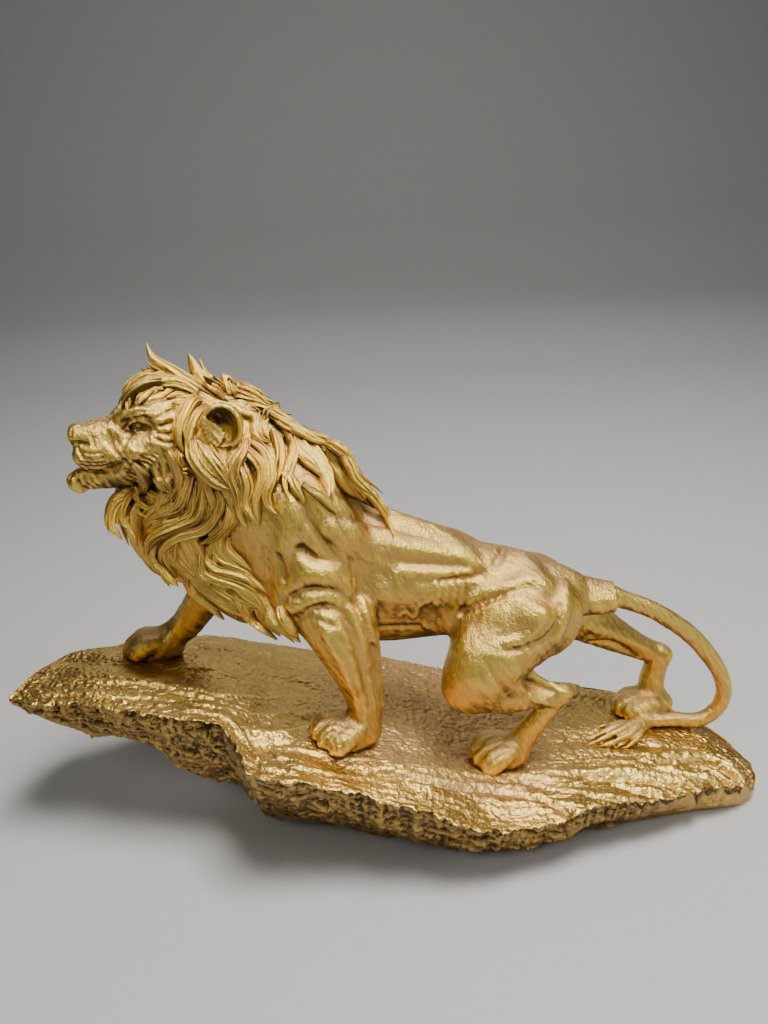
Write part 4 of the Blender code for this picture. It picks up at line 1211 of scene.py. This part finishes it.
def makeMane(tree):
    rings, points = mane["rings"], mane["crownPoints"]
    crown = Hair(tree, mane["seed"], rings, points)
    growDrawn(crown, crownLocks, 1.5, 1.0, -1)
    for side in (-1, 1):
        growDrawn(crown, fringeLocks, 0.8, 0.4, side, "head", 0.6)
        growDrawn(crown, templeLocks, 2.2, 1.2, side, "head")
        crown.crownPoints = points - 6
        growRows(crown, topRows, (0, 0, mane["aboveRoots"]), ((1, 0, 0), (0, side, 0)), mane["topThickness"])
    pieces = [hairObject("lion_crown", crown)]
    for side, name in ((-1, "left"), (1, "right")):
        fewer = 0 if side < 0 else 5
        hair = Hair(tree, mane["seed"] + 2 + side, rings - fewer // 2, points - fewer)
        growDrawn(hair, neckLocks, 1.4, 1.2, side, close=True)
        growDrawn(hair, napeLocks, 1.0, 0.4, side, bulk=0.8, close=True)
        hair.rings, hair.crownPoints = rings - 8, points - 9
        growRows(hair, sideRows, (0, side * mane["besideRoots"], 0), ((1, 0, 0), (0, 0, 1)),
                 mane["thickness"] * mane["undercoat"])
        pieces.append(hairObject("lion_mane_" + name, hair))
        bib = Hair(tree, mane["seed"] + 7 + side, rings - fewer // 2, points - fewer)
        growDrawn(bib, throatLocks, 1.8, 1.2, side)
        growDrawn(bib, chestLocks, 1.8, 1.2, side)
        bib.rings, bib.crownPoints = rings - 8, points - 8
        growRows(bib, frontRows, (mane["beforeRoots"], 0, 0), ((0, side, 0), (0, 0, 1)),
                 mane["frontThickness"])
        pieces.append(hairObject("lion_bib_" + name, bib))
    return pieces


# Occlusion: how much surface stands around each point, counted in a grid of cells. The finishes paint shade
# by it, in crevices and between parts.
def paintOcclusion(pieces, grain=1.8, reach=2, offset=4.2, low=0.075, high=0.20):
    spots, areas = [], []
    for piece in pieces:
        spots.append(readOut(piece.data.polygons, "center", 3) / unit)
        areas.append(readOut(piece.data.polygons, "area", 1)[:, 0] / unit ** 2)
    spots, areas = np.concatenate(spots), np.concatenate(areas)
    start = spots.min(0) - 12
    size = np.ceil((spots.max(0) + 12 - start) / grain).astype(int)
    grid = np.zeros(size)
    np.add.at(grid, tuple(((spots - start) / grain).astype(int).T), areas)
    for _ in range(3):
        for axis in range(3):
            total = np.cumsum(grid, axis=axis)
            ahead = np.roll(total, -reach, axis=axis)
            behind = np.roll(total, reach + 1, axis=axis)
            grid = (ahead - behind) / (2 * reach + 1)
    grid = np.abs(grid) / grain ** 3
    for piece in pieces:
        mesh = piece.data
        at = (coordinates(mesh) / unit + normals(mesh) * offset - start) / grain
        at = np.clip(at.astype(int), 0, size - 1)
        paint(mesh, "occlusion", np.clip((grid[tuple(at.T)] - low) / (high - low), 0.0, 1.0))


# The rock

topPart, cliffPart, underPart = 0, 1, 2


def makeRock():
    count = rock["stations"]
    share = np.linspace(0, 1, count)
    xs = rock["start"] + rock["length"] * (share - 0.035 * np.sin(2 * math.pi * share))
    jag = np.array([abs(wander(x / 13.0, 0.3, 0)) + 0.5 * abs(wander(x / 5.0, 7.1, 0))
                    + 0.25 * abs(wander(x / 2.2, 3.7, 0)) for x in xs])
    toEnd = np.minimum((rock["start"] + rock["length"] - xs) / 30, 1)
    nearY = nearRimY(xs) + rock["jag"] * (2.2 * jag - 0.5) * toEnd
    farY, nearFoot, farFoot = farRimY(xs), nearFootY(xs), farFootY(xs)
    low = np.where(xs < rock["groundStart"], undersideZ(xs), 0.0)
    ring, part = [], []
    for t in np.linspace(0, 1, rock["topPoints"]):
        y = nearY + (farY - nearY) * t
        ring.append((y, rockTop(xs, y)))
        part.append(topPart)
    topFar, topNear = ring[-1][1], ring[0][1]
    for t in np.linspace(0, 1, rock["farPoints"] + 2)[1:-1]:
        ring.append((farY + (farFoot - farY) * t ** 1.5, topFar + (low - topFar) * t))
        part.append(cliffPart)
    for t in np.linspace(0, 1, rock["underPoints"]):
        ring.append((farFoot + (nearFoot - farFoot) * t, low + 0 * xs))
        part.append(underPart)
    for t in np.linspace(0, 1, rock["nearPoints"] + 2)[1:-1]:
        ring.append((nearFoot + (nearY - nearFoot) * t ** 0.7, low + (topNear - low) * t))
        part.append(cliffPart)
    size = len(ring)
    points = np.stack([np.stack([xs, y, z], 1) for y, z in ring], 1).reshape(-1, 3)
    part = np.tile(part, count)
    index = np.arange(count * size).reshape(count, size)
    nextPoint = np.roll(index, -1, axis=1)
    quads = np.stack([index[:-1], index[1:], nextPoint[1:], nextPoint[:-1]], -1).reshape(-1, 4)
    faces = quads.tolist() + [index[0].tolist(), index[-1][::-1].tolist()]
    real = np.array((rock["stretch"], 1.0, 1.0))
    piece = meshObject("rock", points * real, faces)
    mesh = piece.data
    moved, crust, ledgeHighlight = roughen(points, normals(mesh), part)
    moveTo(mesh, moved * real * unit)
    paintHollows(piece, 3, 0.55)
    # The cliffs and the underside get painted shade, less towards the low end
    paint(mesh, "cliff", (part != topPart) * (1 - 0.8 * ramp(points[:, 0], 140.0, 200.0)))
    paint(mesh, "crust", crust)
    paint(mesh, "ledgeHighlight", ledgeHighlight)
    print("rock triangles", triangleCount(mesh))
    return piece


# Ledges, folds and grooves of the top: radius and height in millimetres, places in the photograph's frame
rockStrokes = [
    (2.2, 1.5, [(66, 681), (112, 683), (162, 686), (192, 690), (214, 695), (253, 698), (275, 698)]),
    (2.4, 1.7, [(87, 697), (121, 698), (170, 700), (203, 706), (236, 712), (269, 716), (289, 714)]),
    (2.0, 1.2, [(165, 671), (190, 669), (214, 671), (232, 677)]),
    (3.4, -1.6, [(250, 722), (275, 726), (300, 722), (318, 716)]),
    (2.4, 1.4, [(250, 731), (280, 733), (308, 728)]),
    (1.8, 1.0, [(258, 742), (300, 750), (345, 757), (390, 765)]),
    (1.8, 1.0, [(290, 765), (340, 775), (390, 783), (430, 790)]),
    (3.6, 1.8, [(384, 770), (443, 774), (513, 778), (580, 786)]),
    (2.6, -3.4, [(376, 776), (423, 785), (482, 793), (513, 797), (541, 804), (568, 816)]),
    (3.4, 1.6, [(533, 774), (588, 773), (640, 777), (668, 784)]),
    (1.8, -2.2, [(521, 786), (549, 793), (603, 801), (650, 806)]),
    (2.0, -2.4, [(611, 785), (636, 791), (662, 797)]),
    (3.4, -4.2, [(585, 779), (620, 778), (649, 781), (675, 785), (696, 791), (713, 800)]),
    (4.6, 2.4, [(600, 771), (640, 770), (670, 770), (696, 774), (713, 781), (723, 789), (729, 797)]),
    (2.2, -3.0, [(690, 765), (707, 769), (719, 776), (728, 786), (732, 794)]),
    (4.6, 2.6, [(645, 757), (679, 756), (709, 757), (726, 764), (738, 774), (746, 784)]),
    (2.2, -3.0, [(660, 763), (690, 762), (708, 763), (721, 767), (732, 775), (739, 783)]),
    (2.0, -2.2, [(694, 780), (706, 786), (716, 794), (722, 801)]),
]


# Where the camera sees the rock's top, in plan
def onRock(u, v):
    eye, ray = np.array(view["place"]) / unit, np.array(eyeRay(u, v))
    spots = eye + ray * np.arange(250.0, 800.0, 0.5)[:, None]
    spots[:, 0] /= rock["stretch"]
    under = spots[:, 2] < rockTop(spots[:, 0], spots[:, 1])
    return spots[np.argmax(under), :2]


def rockRelief(x, y):
    raised, sunk = np.zeros(len(x)), np.zeros(len(x))
    for radius, height, places in rockStrokes:
        line = smoothPath([onRock(u, v) for u, v in places], 60)
        away = np.full(len(x), 1e9)
        for spot in line:
            away = np.minimum(away, (x - spot[0]) ** 2 + (y - spot[1]) ** 2)
        share = height * np.exp(-away / radius ** 2)
        if height > 0:
            raised = np.maximum(raised, share)
        else:
            sunk = np.minimum(sunk, share)
    return raised, sunk


# Plan distance from the near rim, which runs on round the low end
def rimDistance(points):
    xs = np.linspace(rock["start"], rock["start"] + rock["length"], 260)
    near = np.stack([xs, nearRimY(xs)], 1)
    back = xs[xs > 150][::-1]
    rim = np.concatenate([near, np.stack([back, farRimY(back)], 1)])
    best = np.full(len(points), 1e9)
    for spot in rim:
        best = np.minimum(best, (points[:, 0] - spot[0]) ** 2 + (points[:, 1] - spot[1]) ** 2)
    return np.sqrt(best)


# A broken face: each cell of the stone is a tilted flat of its own
def facet(spot, size, depth):
    away, cells = noise.voronoi(spot / size)
    offset = spot / size - cells[0]
    tilt = noise.cell_vector(cells[0] * 7.3) * 2.0 - Vector((1, 1, 1))
    split = max(0.25 - (away[1] - away[0]), 0.0)  # near the next cell
    return depth * (tilt.dot(offset) * 1.6 + 0.7 * tilt[0] - 0.5 * split)


# The stone's surface, point by point. Also how far each point lies in the coppery middle of the top,
# and how far on a raised ledge, which gets a painted highlight.
def roughen(points, ways, part):
    moved = points.copy()
    fromRim = rimDistance(points)
    x, y = points[:, 0], points[:, 1]
    lowEnd = ramp(x, 112.0, 150.0) * (1 - ramp(y, -22.0, -6.0))     # folds at the low end
    lowEnd *= 0.55 + 0.65 * ramp(x, 170.0, 235.0)
    nearBand = ramp(x, -40.0, 0.0) * (1 - ramp(x, 150.0, 180.0)) * (1 - ramp(y, -58.0, -40.0))
    crestY = np.interp(x, (-20, 54, 116, 150), (-80, -71, -75, -74))
    crest = ramp(x, -40.0, 0.0) * (1 - ramp(x, 120.0, 160.0)) * 3.4 * (
        ramp(y - crestY, -24.0, -2.0) - ramp(y - crestY, 6.0, 36.0))
    ledge = 1 - ramp(x, -75.0, -35.0)                               # the raised end
    roundEnd = ramp(x, 120.0, 180.0)
    stepY = np.interp(x, (-110, -96, -66, -54), (-72, -63, -57, -43))
    drop = rock["step"] * ramp(-x, 56.0, 88.0) * (1 - ramp(-x, 98.0, 114.0)) * ramp(stepY - y, -2.0, 4.0)
    middle = ramp(x, -70.0, -30.0) * (1 - ramp(x, 90.0, 130.0)) * ramp(fromRim, 20.0, 36.0)
    raised, sunk = rockRelief(x, y)
    # Raised ledges of the top get a painted highlight
    ledgeHighlight = np.clip(raised / 1.6, 0, 1) * (part == topPart)
    ledge = ledge * (1 - ramp(fromRim, 26.0, 44.0))
    flat = rockTop(x, y)
    share = np.clip((y - nearRimY(x)) / (farRimY(x) - nearRimY(x)), 0, 1)
    plain = nearRimZ(x) + (farRimZ(x) - nearRimZ(x)) * share + 3.0 * np.sin(math.pi * share)
    for i, (x, y, z) in enumerate(points):
        spot = Vector((x, y, z))
        if part[i] == underPart:
            if z > 1.0:
                moved[i, 2] += 1.5 * noise.noise(spot / 9.0)
            continue
        if part[i] == cliffPart:
            nearGround = min(z / 6.0, 1.0)
            along = Vector((0.50 * x - 0.32 * z, 0.8 * y, 0.50 * x + 1.05 * z))
            push = facet(along, 8.0, rock["chips"])
            push += facet(along + Vector((9, 0, 4)), 3.2, 0.5 * rock["chips"])
            push += 3.0 * noise.noise(spot / 26.0) + 0.5 * noise.noise(spot / 2.2)
            moved[i] += ways[i] * push * nearGround * (1 - 0.75 * roundEnd[i])
            continue
        warp = 5.0 * wander(x / 46.0, y / 20.0, 1.7) + 0.9 * wander(x / 9.0, y / 7.0, 4.1)
        lane = y + 0.6 * max(x - 215.0, 0.0) + warp
        fold = abs(math.cos(math.pi * (lane / rock["foldWidth"] + 0.66))) ** 0.7 - 0.8
        height = lowEnd[i] * rock["folds"] * fold
        band = (y - crestY[i] + 0.7 * warp) / 1.7
        height += nearBand[i] * 0.25 * rock["folds"] * (abs(math.cos(band)) ** 0.6 - 0.75)
        height += crest[i] - nearBand[i] * rock["groove"] * math.exp(-band ** 2)
        terrace = (fromRim[i] + 0.8 * warp) / rock["foldWidth"] + 0.3
        broken = max(wander(x / 60.0, math.floor(terrace) * 3.1, 8.8) * 2.4 + 0.7, 0.0)
        height += ledge[i] * rock["streaks"] * (1.0 - terrace % 1.0) ** 2.5 * min(broken, 1.0)
        ripple = 1.0 - abs(wander(x / 22.0, (y + 0.12 * x) / 2.6, 3.1)) * 5.0
        height += max(ledge[i], nearBand[i]) * 0.45 * max(ripple, 0.0)
        height += rock["grain"] * (1.0 + 0.7 * middle[i]) * noise.fractal(spot / 2.2, 0.9, 2.0, 3)
        height += (noise.noise(spot / 13.0)
                   + (raised[i] + sunk[i]) * (1.0 + 0.5 * noise.noise(spot / 6.0)))
        height += middle[i] * 0.75 * (plain[i] - flat[i]) - drop[i]
        fromKnob = math.hypot(x - rock["knob"][0], y - rock["knob"][1]) / rock["knobRadius"]
        if fromKnob < 1:
            height += rock["knobHeight"] * math.sqrt(1 - fromKnob ** 2)
        edge = 3.0 + 11.0 * roundEnd[i]
        if fromRim[i] < edge:
            uneven = 0.7 + 0.6 * noise.noise(spot / 4.0)
            height -= (1.6 + 6.0 * roundEnd[i]) * (1 - fromRim[i] / edge) ** 2 * uneven
        moved[i, 2] += height
    return moved, middle, ledgeHighlight


# Finishes

def plug(tree, place, value):
    if isinstance(value, Wire):
        tree.links.new(value.socket, place)
    else:
        place.default_value = value


class Wire:
    def __init__(self, tree, socket):
        self.tree = tree
        self.socket = socket

    def sums(self, operation, *values):
        node = self.tree.nodes.new("ShaderNodeMath")
        node.operation = operation
        for place, value in zip(node.inputs, values):
            plug(self.tree, place, value)
        return Wire(self.tree, node.outputs[0])

    def __add__(self, other):
        return self.sums("ADD", self, other)

    def __radd__(self, other):
        return self.sums("ADD", other, self)

    def __sub__(self, other):
        return self.sums("SUBTRACT", self, other)

    def __rsub__(self, other):
        return self.sums("SUBTRACT", other, self)

    def __mul__(self, other):
        return self.sums("MULTIPLY", self, other)

    def __rmul__(self, other):
        return self.sums("MULTIPLY", other, self)


class Finish:
    def __init__(self, name):
        self.material = bpy.data.materials.new(name)
        self.material.use_nodes = True
        self.tree = self.material.node_tree
        self.shader = self.tree.nodes["Principled BSDF"]

    # A node of the given type: settings first, then the values or links of its sockets
    def node(self, kind, settings=None, sockets=None, output=0):
        node = self.tree.nodes.new(kind)
        for key, value in (settings or {}).items():
            setattr(node, key, value)
        for key, value in (sockets or {}).items():
            plug(self.tree, node.inputs[key], value)
        return Wire(self.tree, node.outputs[output])

    def attribute(self, name):
        return self.node("ShaderNodeAttribute", {"attribute_name": name}, output="Fac")

    def blend(self, factor, first, second):
        return self.node("ShaderNodeMix", {"data_type": "RGBA"},
                         {"Factor": factor, "A": first, "B": second}, 2)

    def mottle(self, place, scale, detail, roughness=0.5):
        return self.node("ShaderNodeTexNoise", sockets={"Vector": place, "Scale": scale, "Detail": detail,
                                                        "Roughness": roughness})

    def turned(self, place, angles, stretch):
        return self.node("ShaderNodeMapping", sockets={"Vector": place, "Rotation": angles, "Scale": stretch})

    # From low to high, softly, as the value goes from start to end
    def fade(self, value, start, end, low=0.0, high=1.0):
        return self.node("ShaderNodeMapRange", {"interpolation_type": "SMOOTHSTEP"},
                         {"Value": value, "From Min": start, "From Max": end, "To Min": low, "To Max": high})

    def bump(self, height, strength, distance):
        return self.node("ShaderNodeBump",
                         sockets={"Strength": strength, "Distance": distance, "Height": height})

    def set(self, **sockets):
        for key, value in sockets.items():
            plug(self.tree, self.shader.inputs[key.replace("_", " ")], value)


def colour(red, green, blue):
    return (red, green, blue, 1.0)


goldLook = {
    # bright: painted highlight on ridges
    "bright": colour(1.0, 0.73, 0.12),
    "plain": colour(0.72, 0.445, 0.125),
    "rose": colour(0.80, 0.47, 0.22),
    # deep: painted shade in hollows, crevices, between parts and on faces turned down
    "deep": colour(0.082, 0.055, 0.014),
    "roughness": 0.29,
    "bristle": 0.85,        # strength of the hair and dust in the paint
    "relief": 0.0009,       # their depth, in metres
    "patchScale": 22.0,
    "dustScale": 850.0,
}


def goldFinish(name, bristle, stretch, slope, roseShare, deepFrom):
    look = Finish(name)
    place = look.node("ShaderNodeTexCoord", output="Object")
    facing = look.node("ShaderNodeNewGeometry", output="Normal")
    up = look.node("ShaderNodeSeparateXYZ", sockets={"Vector": facing}, output="Z")
    # Painted shade: darker in hollows, where surfaces crowd round each other (crevices, between parts, under
    # the head) and on faces turned down
    under = look.fade(up, 0.25, -0.75)
    shade = 0.60 * look.attribute("hollow") + 0.75 * look.attribute("occlusion") + 0.46 * under
    patches = look.mottle(place, goldLook["patchScale"], 4.0)
    dust = look.mottle(place, goldLook["dustScale"], 3.0)
    hairs = look.mottle(look.turned(place, (0.0, slope, 0.0), stretch), bristle, 4.0, 0.65)
    rose = look.fade(up + 0.6 * patches, 0.85, 1.35, high=roseShare)
    # The dark colour of the painted shade, strongest where the shade is deepest
    deep = look.fade(shade + 0.22 * (dust - 0.5) + 0.18 * (hairs - 0.5), deepFrom, deepFrom + 0.42, high=0.95)
    # Painted highlight: the bright colour on ridges, where there is least painted shade
    proud = look.fade(shade + 0.25 * (hairs - 0.5), 0.10, 0.36, 1.0, 0.0)
    base = look.blend(proud, goldLook["plain"], goldLook["bright"])
    base = look.blend(rose, base, goldLook["rose"])
    base = look.blend(deep, base, goldLook["deep"])
    rough = goldLook["roughness"] + 0.12 * patches + 0.25 * deep + 0.10 * rose
    bump = look.bump(hairs + 0.7 * dust, goldLook["bristle"], goldLook["relief"])
    look.set(Base_Color=base, Metallic=1.0 - 0.4 * deep, Roughness=rough, Normal=bump)
    return look.material


rockLook = {
    # bright: painted highlight on ridges, grit, threads and ledges
    "bright": colour(1.0, 0.73, 0.17),
    "plain": colour(0.68, 0.43, 0.12),
    "rose": colour(0.70, 0.43, 0.18),
    "shadow": colour(0.31, 0.175, 0.055),    # painted shade of the cliffs, which face down and outwards
    # deep: painted shade in hollows, crevices and on the cliffs
    "deep": colour(0.048, 0.026, 0.011),
    "roughness": 0.32,
    "patchScale": 16.0,
    "gritScale": 300.0,
    "threadScale": 260.0,   # of the fine threads drawn out along the rock
    "threadStretch": (0.11, 1.0, 0.4),
    "relief": 0.0015,       # depth of grit and threads, in metres
}


def rockFinish(name):
    look = Finish(name)
    place = look.node("ShaderNodeTexCoord", output="Object")
    cliff = look.attribute("cliff")
    # Painted shade: darker in hollows, where surfaces crowd round each other, and more on the cliffs
    shade = 0.72 * look.attribute("hollow") + 0.35 * look.attribute("occlusion")
    patches = look.mottle(place, rockLook["patchScale"], 5.0)
    grit = look.mottle(place, rockLook["gritScale"], 3.0, 0.55)
    drawnOut = look.turned(place, (0.0, 0.0, 0.12), rockLook["threadStretch"])
    threads = look.mottle(drawnOut, rockLook["threadScale"], 4.0, 0.6)
    rose = look.fade(look.attribute("crust") + 0.9 * (patches - 0.5), 0.25, 0.95, high=0.85)
    deep = look.fade(shade + 0.22 * cliff + 0.30 * (grit - 0.5), 0.46, 0.86, high=0.94)
    # Painted highlight: the bright colour on ridges, grit and threads where there is least shade, less on the
    # cliffs
    speckled = shade + (0.12 + 0.20 * cliff) * (grit - 0.5) + 0.7 * (1.0 - cliff) * (threads - 0.5)
    proud = look.fade(speckled, 0.06, 0.30, 1.0, 0.0) * (1.0 - 0.6 * rose)
    # Painted highlight on the raised ledges
    proud = proud * 0.6 + 0.4 * look.attribute("ledgeHighlight")
    base = look.blend(rose, rockLook["plain"], rockLook["rose"])
    # The cliffs are painted in the shade colour
    base = look.blend(0.85 * cliff, base, rockLook["shadow"])
    base = look.blend(proud * (1.0 - 0.6 * cliff), base, rockLook["bright"])
    base = look.blend(deep, base, rockLook["deep"])
    rough = rockLook["roughness"] + 0.08 * patches + 0.12 * rose + 0.2 * deep
    bump = look.bump(grit + 0.6 * threads, 0.9, rockLook["relief"])
    look.set(Base_Color=base, Metallic=1.0 - 0.4 * deep, Roughness=rough, Normal=bump)
    return look.material


# Light, floor and camera

studio = {
    "floor": colour(0.52, 0.52, 0.51),
    "sky": colour(0.80, 0.82, 0.84),
    "skyStrength": 0.05,
    "aim": (0.0, 0.0, 0.15),
    "lights": (  # name, place, width and height, power, tint
        ("top", (0.25, -0.25, 1.5), (0.62, 0.46), 31.0, (1.0, 0.98, 0.94)),
        ("key", (-0.6, -1.0, 1.2), (0.5, 0.5), 4.0, (1.0, 0.98, 0.95)),
        ("side", (1.2, -0.6, 0.8), (0.4, 0.9), 5.0, (0.97, 0.98, 1.0)),
        ("back", (0.1, 1.5, 0.9), (1.8, 0.6), 4.0, (1.0, 1.0, 1.0)),
    ),
    "sweep": ((-3, 0), (1.3, 0), (1.8, 0.06), (2.2, 0.24), (2.45, 0.6), (2.55, 1.2), (2.55, 4.0)),
    "halfWidth": 6,
}


def addLight(name, place, size, power, tint):
    data = bpy.data.lights.new(name, "AREA")
    data.shape = "RECTANGLE"
    data.size, data.size_y = size
    data.energy = power
    data.color = tint
    lamp = placed(name, data)
    lamp.location = place
    lamp.rotation_euler = (Vector(place) - Vector(studio["aim"])).to_track_quat("Z", "Y").to_euler()


def makeStudio():
    world = bpy.data.worlds.new("studio")
    bpy.context.scene.world = world
    world.use_nodes = True
    sky = world.node_tree.nodes["Background"].inputs
    sky["Color"].default_value = studio["sky"]
    sky["Strength"].default_value = studio["skyStrength"]
    for light in studio["lights"]:
        addLight(*light)
    sweep, wide = studio["sweep"], studio["halfWidth"]
    points = [(x, y, z) for y, z in sweep for x in (-wide, wide)]
    faces = [(2 * i, 2 * i + 1, 2 * i + 3, 2 * i + 2) for i in range(len(sweep) - 1)]
    mesh = bpy.data.meshes.new("floor")
    mesh.from_pydata(points, [], faces)
    mesh.shade_smooth()
    floor = placed("floor", mesh)
    look = Finish("pale_floor")
    look.set(Base_Color=studio["floor"], Roughness=0.5)
    mesh.materials.append(look.material)


def makeCamera():
    data = bpy.data.cameras.new("camera")
    data.sensor_width = view["film"]
    data.lens = view["lens"]
    camera = placed("camera", data)
    columns = Matrix((view["right"], view["up"], view["back"])).transposed().to_4x4()
    columns.translation = Vector(view["place"])
    camera.matrix_world = columns
    bpy.context.scene.camera = camera


def hand(piece, node, material):
    piece.data.materials.clear()
    piece.data.materials.append(material)
    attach(piece, "root")
    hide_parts(node)


makeCamera()
makeStudio()
print("studio ready")
lionBody = makeBody()
lionHead = makeHead()
print("body and head modelled")
manePieces = makeMane(skinTree(lionBody, lionHead))
print("mane grown")
rockPiece = makeRock()
print("rock broken")
lionPieces = [lionBody, lionHead, *manePieces]
# Painted shade where parts crowd each other: in crevices, between the locks and under the head
paintOcclusion(lionPieces, low=0.48, high=1.28)
paintOcclusion([rockPiece], grain=2.4, offset=3.5, low=0.10, high=0.24)

skinGold = goldFinish("gold_skin", 620.0, (1.0, 1.0, 0.20), -0.5, 0.6, 0.38)
maneGold = goldFinish("gold_mane", 600.0, (1.0, 1.0, 1.0), 0.0, 0.3, 0.40)
rockGold = rockFinish("gold_stone")
for piece in lionPieces:
    hand(piece, "lion", maneGold if piece in manePieces else skinGold)
hand(rockPiece, "rock_base", rockGold)
